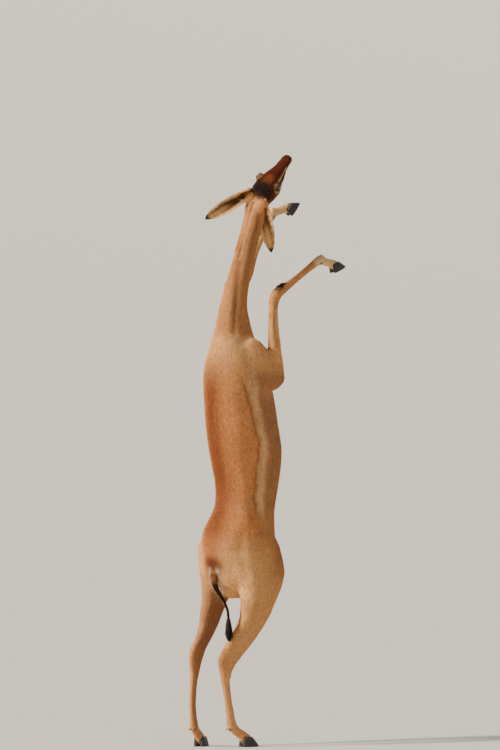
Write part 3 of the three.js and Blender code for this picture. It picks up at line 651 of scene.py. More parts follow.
dab(CREAM_AND_HIGHLIGHT, 0.75 * head * near_line(in_skull, [(31, 26, -18), (27, 54, -32), (21, 86, -42)], 8))
dab(BLACKISH, 0.8 * head * tear_line)
dab(BLACKISH, 0.9 * head * (1 - step(eye_gap, 15.6, 17.6)))
lips = near_line(in_skull, [(23, 80, -56), (19, 106, -52), (9, 130, -50)], 8)
dab(WHITE, 0.9 * head * lips)
nose = near_line(in_skull, [(13, 125, -45), (9, 132, -46), (0, 134, -46)], 10)
dab(BLACKISH, 0.95 * head * nose)
dab(BLACKISH, 0.8 * head * near_line(
    in_skull, [(26, 76, -62), (22, 88, -58), (19, 104, -55), (8, 132, -52.5)], 3.4))
ear_base = near_spot(in_skull, (30, -84, -12), 16, 30)
dab(BUFF_AND_PAINTED_LIGHT, 0.95 * ear_base * np.clip(head + where("neck_upper"), 0, 1))

# %% Ear markings: grey-buff backs, painted shade and darker streaks inside, pale edges and black tips
EAR_LONG, EAR_WIDE = 178.0, 50.0
EAR_PROFILE = ([0, 0.08, 0.28, 0.5, 0.7, 0.86, 0.96, 1], [0.7, 0.8, 0.96, 1.04, 0.94, 0.7, 0.38, 0.16])


def on_ear(root, along, opening):
    """How far along an ear each point is, 1 at its tip, and how far across, 1 or -1 at its edges."""
    from_root = marks - root
    place_along = (from_root @ along) / EAR_LONG
    half = EAR_WIDE / 2 * np.interp(place_along, *EAR_PROFILE)
    return place_along, (from_root @ np.cross(along, opening)) / half


for name, (root, along, opening) in EARS.items():
    ear = where(name)
    place_along, across = on_ear(root, along, opening)
    off_middle = np.abs(across)
    inward = step(facing @ opening, -0.1, 0.3)
    middle = 1 - step(off_middle, 0.25, 0.8)
    dab(EAR_BACK, ear * step(place_along, 0.1, 0.25))
    dab(BUFF_AND_PAINTED_LIGHT, ear * inward * step(place_along, 0.1, 0.2))
    # The wedge near the root is painted shade in the ear's hollow, and the streaks beside the middle darken
    # the inside further.
    wedge = middle * (1 - step(place_along, 0.3, 0.75)) * step(place_along, 0.02, 0.14)
    streaks = 0.5 * np.exp(-((off_middle - 0.45) / 0.14) ** 2)
    dab(EAR_DARK_AND_SHADE, 0.92 * ear * inward * np.clip(wedge + streaks, 0, 1))
    # The left ear's inside is darkened further as painted shade.
    if name == "ear_left":
        dab(EAR_DARK_AND_SHADE, 0.55 * ear * inward * step(place_along, 0.2, 0.4))
    dab(CREAM_AND_HIGHLIGHT, 0.9 * ear * step(off_middle, 0.68, 0.86))
    dab(BUFF_AND_PAINTED_LIGHT, 0.95 * ear * (1 - step(place_along, 0.08, 0.25)) * (1 - inward))
    tip = step(place_along, 0.87, 0.95)
    tip += step(off_middle, 0.84, 0.98) * step(place_along, 0.7, 0.85)
    dab(BLACKISH, 0.92 * ear * np.clip(tip, 0, 1))
broad = np.sin(x / 31 + 2) * np.sin(y / 37 + 1) * np.sin(z / 29)
tint *= (1 + 0.06 * broad)[:, None]
print("mean tint", tint.mean(0).round(3))

# %% [markdown]
# ## Where the coat's colours are kept for baking
# The colours of thousands of tufts have to fit on one map. Each part of the skin is unrolled like a label
# round a bottle: the angle round its long axis and the place along it give a point in that part's own
# box. Every tuft then takes a tiny patch at its root's place. A camera projection would mix the far side
# with the near one.

# %% Unroll the skin part by part
# Boxes across the map, the share of a box that stays free at its edge and the share that is filled.
COLUMNS, BOX_MARGIN, BOX_FILL = 7, 0.05, 0.88
SAMPLE_POINTS = 2000
unrolled = np.zeros((len(points), 3))
for index, name in enumerate(FLESH):
    chosen = found == index
    if not chosen.any():
        continue
    cloud = marks[chosen]
    centre = cloud.mean(0)
    sample = cloud[:: max(1, len(cloud) // SAMPLE_POINTS)] - centre
    long_way, side_way, deep_way = np.linalg.svd(sample, full_matrices=False)[2]
    t = (cloud - centre) @ long_way
    angle = np.arctan2((cloud - centre) @ deep_way, (cloud - centre) @ side_way) / (2 * math.pi) + 0.5
    t = (t - t.min()) / max(np.ptp(t), 1e-6)
    column, row = index % COLUMNS, index // COLUMNS
    unrolled[chosen, 0] = (column + BOX_MARGIN + BOX_FILL * angle) / COLUMNS
    unrolled[chosen, 1] = (row + BOX_MARGIN + BOX_FILL * t) / COLUMNS
print("parts unrolled", len(FLESH))

# %% Hair length, width and thickness of growth on each part
HAIR_LONG = {"head": 5.5, "ear": 4.5, "neck": 9.5, "chest": 11, "belly": 11, "rump": 12, "shoulder": 10,
             "thigh": 11, "forearm": 8, "shank": 8.5, "hock": 7.5, "knee": 7, "cannon": 6, "pastern": 5.5,
             "tail": 12}
HAIR_THICK = {"head": 2.4, "ear": 1.6, "neck": 1.15, "knee": 1.5, "cannon": 1.5, "pastern": 1.7, "hock": 1.3,
              "tail": 1.8, "forearm": 1.2, "shank": 1.2}
hair_long = surface.spread(by_part(found, HAIR_LONG), 10)
hair_thick = surface.spread(by_part(found, HAIR_THICK, 0.9), 4)
bare = head * np.clip(near_line(in_skull, [(13, 126, -45), (0, 134, -46)], 13)
                      + near_line(in_skull, [(24, 76, -62), (19, 104, -55), (6, 132, -53)], 4)
                      + (1 - step(eye_gap, 17.2, 18.4)), 0, 1)
hair_thick *= 1 - step(bare, 0.2, 0.6)
hair_long *= 1 - 0.45 * head * step(ahead, 30, 90)
hair_long += 6 * white_rump * rump + 3 * belly * where("chest", "belly")


def keep(mesh, name, values, kind="FLOAT"):
    field = mesh.attributes.new(name, kind, "POINT")
    key = {"FLOAT": "value", "FLOAT_VECTOR": "vector", "FLOAT_COLOR": "color"}[kind]
    field.data.foreach_set(key, np.asarray(values, np.float32).ravel())


def keep_tint(mesh, colours):
    keep(mesh, "tint", np.hstack([colours, np.ones((len(colours), 1))]), "FLOAT_COLOR")


def coloured(mesh, colour):
    keep_tint(mesh, np.tile(colour, (len(mesh.vertices), 1)))


def keep_hair(mesh, lie, unrolled, hair_long, hair_thick, piece):
    """The fields that the tufts are grown by, with lengths in millimetres."""
    keep(mesh, "lie", lie, "FLOAT_VECTOR")
    keep(mesh, "unrolled", unrolled, "FLOAT_VECTOR")
    keep(mesh, "hair_long", hair_long * mm)
    keep(mesh, "hair_thick", hair_thick)
    keep(mesh, "piece", piece)


COAT_PIECES = {"coat_head": ("head", "ear"), "coat_neck": ("neck",), "coat_chest": ("chest", "shoulder"),
               "coat_belly": ("belly",), "coat_rump": ("rump",), "coat_thighs": ("thigh", "shank"),
               "coat_legs": ("forearm", "knee", "cannon", "pastern", "hock", "tail")}
piece_number = np.zeros(len(points))
for number, names in enumerate(COAT_PIECES.values()):
    for index, name in enumerate(FLESH):
        if name.startswith(names):
            piece_number[found == index] = number
keep_tint(skin.data, np.clip(tint, 0, 1))
keep_hair(skin.data, lie, unrolled, hair_long, hair_thick, piece_number)

# %% [markdown]
# ## A finish for skin and hair
# Under a lens each hair is ringed light and dark, so a short coat glitters with a fine speckle. A
# painted picture would need a huge image to hold that, so two small shader groups make it from noise:
# one speckles a colour and gives a fine bump, the other lights a tuft from root to tip.


# %% Helpers for node trees
def feed(tree, socket, value):
    if isinstance(value, bpy.types.NodeSocket):
        tree.links.new(value, socket)
    else:
        socket.default_value = value


def add(tree, kind, inputs=None, **settings):
    """Adds a node with its settings, and gives its inputs their values or links."""
    node = tree.nodes.new(kind)
    for key, value in settings.items():
        setattr(node, key, value)
    for key, value in (inputs or {}).items():
        feed(tree, node.inputs[key], value)
    return node


def calc(tree, operation, *values):
    return add(tree, "ShaderNodeMath", dict(enumerate(values)), operation=operation).outputs[0]


def arithmetic(tree):
    """Short names for adding, subtracting and multiplying in one tree."""
    return [lambda first, second, kind=kind: calc(tree, kind, first, second)
            for kind in ("ADD", "SUBTRACT", "MULTIPLY")]


def scaled(tree, vector, factor):
    return add(tree, "ShaderNodeVectorMath", {0: vector, "Scale": factor}, operation="SCALE").outputs[0]


def shader_group(name, inputs, outputs):
    group = bpy.data.node_groups.new(name, "ShaderNodeTree")
    for label, kind, value in inputs:
        socket = group.interface.new_socket(label, in_out="INPUT", socket_type=kind)
        socket.default_value = value
    for label, kind in outputs:
        group.interface.new_socket(label, in_out="OUTPUT", socket_type=kind)
    return group, group.nodes.new("NodeGroupInput"), group.nodes.new("NodeGroupOutput")


NUMBER, COLOUR = "NodeSocketFloat", "NodeSocketColor"
GREY = (0.5, 0.5, 0.5, 1)

speckle, given, result = shader_group(
    "speckled coat", [("Colour", COLOUR, GREY), ("Scale", NUMBER, 700.0), ("Depth", NUMBER, 0.3)],
    [("Colour", COLOUR), ("Height", NUMBER)])
plus, minus, times = arithmetic(speckle)
where_on = add(speckle, "ShaderNodeTexCoord").outputs["Object"]
fine_noise = add(speckle, "ShaderNodeTexNoise", {
    "Vector": where_on, "Scale": given.outputs["Scale"], "Detail": 2.0})
broad_noise = add(speckle, "ShaderNodeTexNoise", {
    "Vector": where_on, "Scale": 60.0, "Detail": 4.0, "Roughness": 0.65})
ticks = times(minus(fine_noise.outputs[0], 0.5), given.outputs["Depth"])
mottle = times(minus(broad_noise.outputs[0], 0.5), 0.6)
lightness = plus(plus(ticks, mottle), 1.0)
feed(speckle, result.inputs["Colour"], scaled(speckle, given.outputs["Colour"], lightness))
feed(speckle, result.inputs["Height"], fine_noise.outputs[0])

tuft_light, given, result = shader_group(
    "lit tuft", [("Colour", COLOUR, GREY), ("Shade", NUMBER, 0.5), ("Along", NUMBER, 0.5),
                 ("Contrast", NUMBER, 0.3)], [("Colour", COLOUR)])
plus, minus, times = arithmetic(tuft_light)
up_the_tuft = times(minus(given.outputs["Along"], 0.55), given.outputs["Contrast"])
by_tuft = times(minus(given.outputs["Shade"], 0.5), given.outputs["Contrast"])
lightness = plus(plus(up_the_tuft, by_tuft), 1.0)
feed(tuft_light, result.inputs["Colour"], scaled(tuft_light, given.outputs["Colour"], lightness))


# %% Materials
def material(name, roughness, coat=0.0, specular=0.5):
    made = bpy.data.materials.new(name)
    made.use_nodes = True
    shader = made.node_tree.nodes["Principled BSDF"]
    for label, value in (("Roughness", roughness), ("Coat Weight", coat), ("Coat Roughness", 0.03),
                         ("Specular IOR Level", specular)):
        shader.inputs[label].default_value = value
    return made, made.node_tree, shader


def read(tree, name, output="Fac"):
    return add(tree, "ShaderNodeAttribute", attribute_name=name).outputs[output]


def speckled(tree, colour, scale, depth):
    return add(tree, "ShaderNodeGroup", {"Colour": colour, "Scale": scale, "Depth": depth},
               node_tree=speckle)


def bumped(tree, shader, height, distance):
    bump = add(tree, "ShaderNodeBump", {"Distance": distance, "Height": height})
    feed(tree, shader.inputs["Normal"], bump.outputs[0])


def skin_material(name, roughness, scale, depth, bump, **wetness):
    made, tree, shader = material(name, roughness, **wetness)
    spots = speckled(tree, read(tree, "tint", "Color"), scale, depth)
    feed(tree, shader.inputs["Base Color"], spots.outputs["Colour"])
    bumped(tree, shader, spots.outputs["Height"], bump)
    return made


def hair_material(name, contrast, scale, depth, roughness):
    made, tree, shader = material(name, roughness, specular=0.16)
    spots = speckled(tree, read(tree, "tint", "Color"), scale, depth)
    light = add(tree, "ShaderNodeGroup", {
        "Colour": spots.outputs["Colour"], "Shade": read(tree, "shade"), "Along": read(tree, "along"),
        "Contrast": contrast}, node_tree=tuft_light)
    feed(tree, shader.inputs["Base Color"], light.outputs["Colour"])
    return made


hide = skin_material("hide", 0.8, 650, 0.35, 0.0006, specular=0.15)
bare_skin = skin_material("bare dark skin", 0.38, 1400, 0.4, 0.0002, coat=0.25, specular=0.5)
short_hair = hair_material("short hair", 0.62, 300, 0.55, 0.6)
long_hair = hair_material("long hair", 0.5, 900, 0.3, 0.5)
print("materials", [m.name for m in (hide, bare_skin, short_hair, long_hair)])

# %% [markdown]
# ## Tufts by Geometry Nodes
# The coat is thousands of like tufts, the very thing Geometry Nodes are for. Points are scattered on the
# skin, each gets a slim closed spike laid along the hair's direction, its root sunk in the skin, and the
# tree writes each tuft's own tiny patch of the OFBake map. The same tree with longer, rounder spikes
# makes the tail's tuft, the knee tufts, the ear fringes and the lashes.

# %% The tuft tree
TUFT_INPUTS = [("Piece", NUMBER, 0.0), ("Density", NUMBER, 1000.0), ("Seed", "NodeSocketInt", 1),
               ("Width", NUMBER, 0.002), ("Length", NUMBER, 1.0), ("Thick", NUMBER, 0.08),
               ("Lift", NUMBER, 0.15), ("Droop", NUMBER, 0.4), ("Belly", NUMBER, 0.5),
               ("Sink", NUMBER, 0.03), ("Stray", NUMBER, 0.3),
               ("Sides", "NodeSocketInt", 3), ("Rows", "NodeSocketInt", 1),
               ("Finish", "NodeSocketMaterial", None)]
BAKE_PATCH = 0.003

tufts = bpy.data.node_groups.new("tufts", "GeometryNodeTree")
tufts.interface.new_socket("Geometry", in_out="INPUT", socket_type="NodeSocketGeometry")
for label, kind, value in TUFT_INPUTS:
    socket = tufts.interface.new_socket(label, in_out="INPUT", socket_type=kind)
    if value is not None:
        socket.default_value = value
tufts.interface.new_socket("Geometry", in_out="OUTPUT", socket_type="NodeSocketGeometry")
given = tufts.nodes.new("NodeGroupInput")
result = tufts.nodes.new("NodeGroupOutput")
plus, minus, times = arithmetic(tufts)


def named(name, kind="FLOAT"):
    return add(tufts, "GeometryNodeInputNamedAttribute", {"Name": name}, data_type=kind).outputs["Attribute"]


def random_number(lowest, highest, seed_step):
    return add(tufts, "FunctionNodeRandomValue", {
        2: lowest, 3: highest, "Seed": plus(given.outputs["Seed"], seed_step)}, data_type="FLOAT").outputs[1]


def store(geometry, name, value, kind, domain):
    node = add(tufts, "GeometryNodeStoreNamedAttribute", {"Geometry": geometry, "Name": name},
               data_type=kind, domain=domain)
    feed(tufts, [s for s in node.inputs if s.name == "Value" and s.enabled][0], value)
    return node.outputs[0]


def gather(*values):
    return add(tufts, "ShaderNodeCombineXYZ", dict(enumerate(values))).outputs[0]


# One spike of unit size, with its root at the origin and its tip along Y.
spike = add(tufts, "GeometryNodeMeshCone", {
    "Vertices": given.outputs["Sides"], "Side Segments": given.outputs["Rows"],
    "Radius Top": 0.0, "Radius Bottom": 0.5, "Depth": 1.0})
px, py, pz = add(tufts, "ShaderNodeSeparateXYZ", {
    0: add(tufts, "GeometryNodeInputPosition").outputs[0]}).outputs
fuller = plus(times(pz, given.outputs["Belly"]), 1.0)
rise = times(given.outputs["Lift"], minus(pz, times(given.outputs["Droop"], times(pz, pz))))
flat = times(times(px, fuller), given.outputs["Thick"])
marked = store(spike.outputs["Mesh"], "along", pz, "FLOAT", "POINT")
marked = store(marked, "patch", gather(py, pz, 0.0), "FLOAT_VECTOR", "POINT")
shape = add(tufts, "GeometryNodeSetPosition", {
    "Geometry": marked,
    "Position": gather(times(py, fuller), pz, minus(plus(flat, rise), given.outputs["Sink"]))})

# Roots scattered on the wanted piece of the skin, thicker where the coat is.
part_only = add(tufts, "GeometryNodeSeparateGeometry", {
    "Geometry": given.outputs["Geometry"],
    "Selection": calc(tufts, "COMPARE", named("piece"), given.outputs["Piece"], 0.5)}, domain="FACE")
roots = add(tufts, "GeometryNodeDistributePointsOnFaces", {
    "Mesh": part_only.outputs[0], "Density": times(given.outputs["Density"], named("hair_thick")),
    "Seed": given.outputs["Seed"]}, distribute_method="RANDOM")
shaded = store(roots.outputs["Points"], "shade", random_number(0.0, 1.0, 11), "FLOAT", "POINT")

# Each spike stands on the skin and is turned to lie along the hair's direction, a little astray.
upright = add(tufts, "FunctionNodeAlignRotationToVector", {"Vector": roots.outputs["Normal"]}, axis="Z")
astray = scaled(tufts, gather(*[random_number(-1.0, 1.0, seed_step) for seed_step in (23, 37, 41)]),
                given.outputs["Stray"])
toward = add(tufts, "ShaderNodeVectorMath", {0: named("lie", "FLOAT_VECTOR"), 1: astray}, operation="ADD")
turned = add(tufts, "FunctionNodeAlignRotationToVector", {
    "Rotation": upright.outputs[0], "Vector": toward.outputs[0]}, axis="Y", pivot_axis="Z")
long = times(times(named("hair_long"), given.outputs["Length"]), random_number(0.72, 1.2, 53))
wide = times(given.outputs["Width"], random_number(0.7, 1.25, 61))
laid = add(tufts, "GeometryNodeInstanceOnPoints", {
    "Points": shaded, "Instance": shape.outputs[0], "Rotation": turned.outputs[0],
    "Scale": gather(wide, long, long)})
real = add(tufts, "GeometryNodeRealizeInstances", {0: laid.outputs[0]})
bake_place = add(tufts, "ShaderNodeVectorMath", {
    0: named("patch", "FLOAT_VECTOR"), 1: (BAKE_PATCH,) * 3, 2: named("unrolled", "FLOAT_VECTOR")},
    operation="MULTIPLY_ADD")
mapped = store(real.outputs[0], "OFBake", bake_place.outputs[0], "FLOAT2", "CORNER")
dressed = add(tufts, "GeometryNodeSetMaterial", {"Geometry": mapped, "Material": given.outputs["Finish"]})
feed(tufts, result.inputs[0], dressed.outputs[0])
IDENTIFIERS = {s.name: s.identifier for s in tufts.interface.items_tree if s.in_out == "INPUT"}


def grow(name, emitter_mesh, **values):
    """A plain mesh of tufts grown on a mesh, which keeps its own shape."""
    carrier = new_object(name, emitter_mesh)
    modifier = carrier.modifiers.new("tufts", "NODES")
    modifier.node_group = tufts
    for label, kind, value in TUFT_INPUTS:
        value = values.get(label, value)
        if value is not None:
            modifier[IDENTIFIERS[label]] = value
    made = finished(carrier, name)
    made.data.validate()
    triangles = sum(len(f.vertices) - 2 for f in made.data.polygons)
    print(name, triangles, "triangles")
    return made


# %% The short coat, a piece for each region
TUFTS_A_PIECE, TUFT_WIDTH = 46000, 0.0026
WIDTHS = {"coat_head": 0.0016, "coat_neck": 0.0022, "coat_legs": 0.0017, "coat_thighs": 0.0024}
areas = np.zeros(len(COAT_PIECES))
for face in skin.data.polygons:
    number = int(round(np.mean([piece_number[v] for v in face.vertices])))
    areas[number] += face.area * hair_thick[face.vertices[0]]
coat = {}
for number, name in enumerate(COAT_PIECES):
    coat[name] = grow(name, skin.data, Piece=float(number), Seed=100 + number, Finish=short_hair,
                      Density=float(TUFTS_A_PIECE / areas[number]), Width=WIDTHS.get(name, TUFT_WIDTH),
                      Thick=0.075, Lift=0.19, Droop=0.45, Sink=0.02, Stray=0.28)
print("coat areas", areas.round(3))

# %% [markdown]
# ## Longer hair on the knees, ears and rump
# A gerenuk has a dark brush on each knee, pale fringes inside the ears and white hair beside the tail.
# They grow from the same skin, so the skin lends its points with new hair lengths and directions, and
# the tuft tree runs again with longer, fuller spikes.


# %% Brushes and fringes
# The piece number of a patch, far from those of the short coat.
PATCH = 50.0


def lend(mask, way, length):
    """Marks part of the skin as a patch of its own and gives it hair of this length in millimetres."""
    for name, key, values in (("piece", "value", np.where(mask, PATCH, -PATCH)), ("lie", "vector", way),
                              ("hair_long", "value", np.full(len(points), length * mm)),
                              ("hair_thick", "value", np.ones(len(points)))):
        skin.data.attributes[name].data.foreach_set(key, np.asarray(values, np.float32).ravel())


knee_mask = (knee * front_up * where("knee", "cannon_front") > 0.36)
lend(knee_mask, lie, 27)
knee_hair = grow("knee_hair", skin.data, Piece=PATCH, Seed=301, Density=150000.0, Width=0.0032, Thick=0.1,
                 Lift=0.3, Droop=0.5, Belly=1.2, Sink=0.02, Stray=0.3, Sides=5, Rows=3, Finish=long_hair)

fringe_way = lie.copy()
fringe_mask = np.zeros(len(points), bool)
for name, (root, along, opening) in EARS.items():
    place_along, across = on_ear(root, along, opening)
    across_way = np.cross(along, opening)
    inner = (where(name) > 0.6) & (facing @ opening > 0.1) & (place_along > 0.12) & (place_along < 0.86)
    inner &= (np.abs(across) > 0.55) & (np.abs(across) < 0.98)
    fringe_mask |= inner
    fringe_way[inner] = along * 0.8 - np.sign(across[inner])[:, None] * across_way * 0.9 + opening * 0.2
lend(fringe_mask, fringe_way, 15)
ear_fringe = grow("ear_fringe", skin.data, Piece=PATCH, Seed=302, Density=170000.0, Width=0.0014, Thick=0.07,
                  Lift=0.25, Droop=0.5, Belly=0.8, Sink=0.02, Stray=0.25, Sides=3, Rows=2, Finish=long_hair)

white_mask = (white_rump * rump > 0.4)
lend(white_mask, lie + np.array([0, -0.25, 0]), 20)
rump_hair = grow("rump_hair", skin.data, Piece=PATCH, Seed=303, Density=160000.0, Width=0.0026, Thick=0.07,
                 Lift=0.3, Droop=0.6, Belly=0.8, Sink=0.02, Stray=0.3, Sides=3, Rows=2, Finish=long_hair)

# %% [markdown]
# ## The tail's tuft
# The tail ends in a tuft of long black hair. A sculpted blob would look like a brush handle. A slim core
# carries a few hundred locks that leave it at a low angle and close again at the tip.

# %% A tapered core and its locks
TUFT_LINE = [(57.6, -129.7, 456, 5.6), (58.6, -130.2, 444, 6.4), (60.5, -131, 430, 6.6), (62, -132, 416, 4.6),
             (63.5, -133.4, 404, 2.2), (64, -134, 399, 0.4)]
CORE_SIDES = 14
# The core's colours take the free corner of the map.
MAP_CORNER, CORNER_WIDE = 0.93, 0.03
core_points, core_faces = [], []
for cx, cy, cz, radius in TUFT_LINE:
    for side_index in range(CORE_SIDES):
        angle = 2 * math.pi * side_index / CORE_SIDES
        core_points.append(place((cx + radius * math.cos(angle), cy + radius * math.sin(angle), cz)))
for row in range(len(TUFT_LINE) - 1):
    for side_index in range(CORE_SIDES):
        a = row * CORE_SIDES + side_index
        b = row * CORE_SIDES + (side_index + 1) % CORE_SIDES
        core_faces.append((b, a, a + CORE_SIDES, b + CORE_SIDES))
core_faces.append(tuple(range(CORE_SIDES)))
core_faces.append(tuple(reversed(range(len(core_points) - CORE_SIDES, len(core_points)))))
core = mesh_from("tuft_core", core_points, core_faces)
core_count = len(core_points)
tail_way = np.array([0.12, -0.08, -1.0])
heights_down = np.repeat(np.linspace(0, 1, len(TUFT_LINE)), CORE_SIDES)
coloured(core, BLACKISH)
round_it = np.tile(np.arange(CORE_SIDES) / CORE_SIDES, len(TUFT_LINE))
keep_hair(core, np.tile(tail_way, (core_count, 1)),
          np.stack([MAP_CORNER + CORNER_WIDE * round_it, MAP_CORNER + CORNER_WIDE * heights_down,
                    0 * heights_down], 1),
          56 - 34 * heights_down, ((heights_down > 0) & (heights_down < 1)).astype(float),
          np.zeros(core_count))
keep(core, "shade", np.full(core_count, 0.4))
keep(core, "along", np.full(core_count, 0.3))
tail_tuft = grow("tail_locks", core, Seed=304, Density=420000.0, Width=0.0042, Thick=0.045, Lift=0.2,
                 Droop=0.8, Belly=1.8, Sink=0.02, Stray=0.16, Sides=5, Rows=5, Finish=long_hair)
core.materials.append(long_hair)
tail_tuft = joined([tail_tuft, new_object("tuft_core", core)])
print("tail locks", len(tail_tuft.data.polygons), "faces")

# %% [markdown]
# ## Eyes
# An antelope's eye is large, dark and set to the side, with a wide brown iris and a pupil like a level
# bar. The ball is a fine sphere with a slight swelling for the cornea. The iris and pupil are masks on
# its points, measured from the way it looks, and a clear coat makes it wet.


# %% The eyeballs
def eye_ways(side):
    """The way an eye looks, the way to its front corner, and the way across both."""
    look = unit(side * 0.9 * head_right + 0.34 * head_forward + 0.26 * head_up)
    front = head_forward - 0.3 * head_up
    front = unit(front - look * (front @ look))
    return look, front, np.cross(look, front)


def lid_ways(side):
    """The way the eye looks, the way to its front corner and the way up to its upper lid."""
    look, front, over = eye_ways(side)
    return look, front, over if over @ head_up > 0 else -over


eye_wet, tree, shader = material("wet eye", 0.12, coat=1.0, specular=0.6)
plus, minus, times = arithmetic(tree)
iris_noise = add(tree, "ShaderNodeTexNoise", {
    "Vector": add(tree, "ShaderNodeTexCoord").outputs["Object"], "Scale": 900.0})
fleck = plus(times(iris_noise.outputs[0], 0.8), 0.6)
feed(tree, shader.inputs["Base Color"], scaled(tree, read(tree, "tint", "Color"), fleck))

EYE_RINGS, EYE_TURNS, BALL_RADIUS = 48, 64, EYE_RADIUS - 0.25
CORNEA, PUPIL_LONG, PUPIL_TALL = 0.05, 0.34, 0.19
eyes = {}
for name, side in (("eye_right", 1), ("eye_left", -1)):
    look, front, over = eye_ways(side)
    ball = bmesh.new()
    bmesh.ops.create_uvsphere(ball, u_segments=EYE_TURNS, v_segments=EYE_RINGS, radius=1.0)
    mesh = bpy.data.meshes.new(name + "_ball")
    ball.to_mesh(mesh)
    ball.free()
    sphere = points_of(mesh)
    # The sphere's pole is turned to the look direction so the fine rings circle the iris.
    turned_ball = sphere[:, [0]] * front + sphere[:, [1]] * over + sphere[:, [2]] * look
    off = np.degrees(np.arccos(np.clip(sphere[:, 2], -1, 1)))
    bulge = 1 + CORNEA * (1 - step(off, 18, 42))
    centre = place(in_head(side * EYE_PLACE[0], *EYE_PLACE[1:]))
    put_points(mesh, centre + turned_ball * (BALL_RADIUS * mm * bulge)[:, None])
    smoothly(mesh)
    level, tall = sphere[:, 0] / PUPIL_LONG, sphere[:, 1] / PUPIL_TALL
    pupil = 1 - step((np.abs(level) ** 3 + np.abs(tall) ** 3), 0.8, 1.2)
    colours = np.tile(paint(74, 42, 22), (len(sphere), 1))
    colours = blend(colours, paint(34, 18, 10), step(off, 30, 40))
    colours = blend(colours, paint(70, 52, 44), step(off, 52, 60))
    colours = blend(colours, paint(6, 5, 8), pupil * (sphere[:, 2] > 0))
    keep_tint(mesh, colours)
    mesh.materials.append(eye_wet)
    eyes[name] = new_object(name + "_ball", mesh)
print("eyes", list(eyes))

# %% [markdown]
# ## Lids and lashes
# The lids meet the ball in a dark bare rim, thicker above, and long lashes stand along the upper one. The
# rim is a tube swept round an almond on the ball's surface. A line of short hair roots on the upper rim
# gives the lashes.

# %% Rims and lashes
LID_HALF_WIDE, LID_OVER, LID_UNDER = 13.6, 9.4, 8.4
RIM_RADIUS = 1.15
RIM_STEPS, RIM_SIDES = 72, 10
LASH_STEPS, LASH_LONG, LASH_ROOTS = 24, 7, 0.9
RIM_OUT, LASH_OUT = 1.0, 1.6


def lid_point(side, turn, radius):
    """A point of the almond round an eye, at a turn round it and a distance from the ball's middle."""
    look, front, upward = lid_ways(side)
    across = LID_HALF_WIDE * math.cos(turn)
    open_by = 1 - math.cos(turn) ** 2
    tall = (LID_OVER if math.sin(turn) > 0 else -LID_UNDER) * open_by
    middle = in_head(side * EYE_PLACE[0], *EYE_PLACE[1:])
    out = math.sqrt(max(radius ** 2 - across ** 2 - tall ** 2, 0.5))
    return middle + front * across + upward * tall + look * out


def tube(name, path, radii, sides):
    """A round tube swept along a closed path, as thick at each point as the radii say."""
    rings, faces = [], []
    count = len(path)
    path = np.array(path)
    for index in range(count):
        way = unit(path[(index + 1) % count] - path[index - 1])
        outward = path[index] - path.mean(0)
        outward -= way * (outward @ way)
        outward /= max(np.linalg.norm(outward), 1e-9)
        third = np.cross(way, outward)
        for k in range(sides):
            angle = 2 * math.pi * k / sides
            rings.append(path[index] + radii[index] * (math.cos(angle) * outward + math.sin(angle) * third))
    for index in range(count):
        for k in range(sides):
            a, b = index * sides + k, index * sides + (k + 1) % sides
            c, d = ((index + 1) % count) * sides + (k + 1) % sides, ((index + 1) % count) * sides + k
            faces.append((a, b, c, d))
    return mesh_from(name, [place(p) for p in rings], faces)


def outward_faces(mesh):
    work = bmesh.new()
    work.from_mesh(mesh)
    bmesh.ops.recalc_face_normals(work, faces=work.faces)
    work.to_mesh(mesh)
    work.free()
    return smoothly(mesh)


lids, lashes = {}, {}
for name, side in (("right", 1), ("left", -1)):
    turns = [2 * math.pi * i / RIM_STEPS for i in range(RIM_STEPS)]
    path = [lid_point(side, t, EYE_RADIUS + RIM_OUT) for t in turns]
    radii = [RIM_RADIUS * (1.0 + 0.35 * max(math.sin(t), 0)) for t in turns]
    mesh = outward_faces(tube("lid_rim_" + name, path, radii, RIM_SIDES))
    coloured(mesh, BLACKISH)
    mesh.materials.append(bare_skin)
    lids[name] = new_object("lid_rim_" + name, mesh)
    # A narrow ribbon along the upper lid carries the roots of the lashes.
    upper = [math.pi * (0.12 + 0.76 * i / LASH_STEPS) for i in range(LASH_STEPS + 1)]
    inner = [lid_point(side, t, EYE_RADIUS + LASH_OUT) for t in upper]
    look, front, upward = lid_ways(side)
    ribbon = [place(p) for p in inner] + [place(p + LASH_ROOTS * upward) for p in inner]
    faces = [(i, i + 1, i + LASH_STEPS + 2, i + LASH_STEPS + 1) for i in range(LASH_STEPS)]
    strip = mesh_from("lash_line_" + name, ribbon, faces)
    if np.array(strip.polygons[LASH_STEPS // 2].normal) @ look < 0:
        strip.flip_normals()
    coloured(strip, paint(20, 14, 12))
    count = len(strip.vertices)
    lash_way = np.tile(upward * 0.55 + look * 0.1, (count, 1)) + np.outer(
        np.tile(np.linspace(1, -1, LASH_STEPS + 1), 2) * 0.5, front)
    keep_hair(strip, lash_way, np.tile((0.97, 0.97, 0), (count, 1)), np.full(count, LASH_LONG),
              np.ones(count), np.zeros(count))
    lashes[name] = grow("lashes_" + name, strip, Seed=320 + side, Density=2000000.0, Width=0.0004,
                        Thick=0.045, Lift=0.95, Droop=0.35, Belly=0.4, Sink=0.0, Stray=0.12, Sides=4,
                        Rows=4, Finish=long_hair)

# %% [markdown]
# ## Hooves
# Each foot has two narrow claws of dark horn that grows down in rings from the coronet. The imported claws
# have the right size with flat facets. A fine remesh of each, relaxed and lightly ringed, gives the horn
# its rounding, and the flat soles are pressed back to their plane.

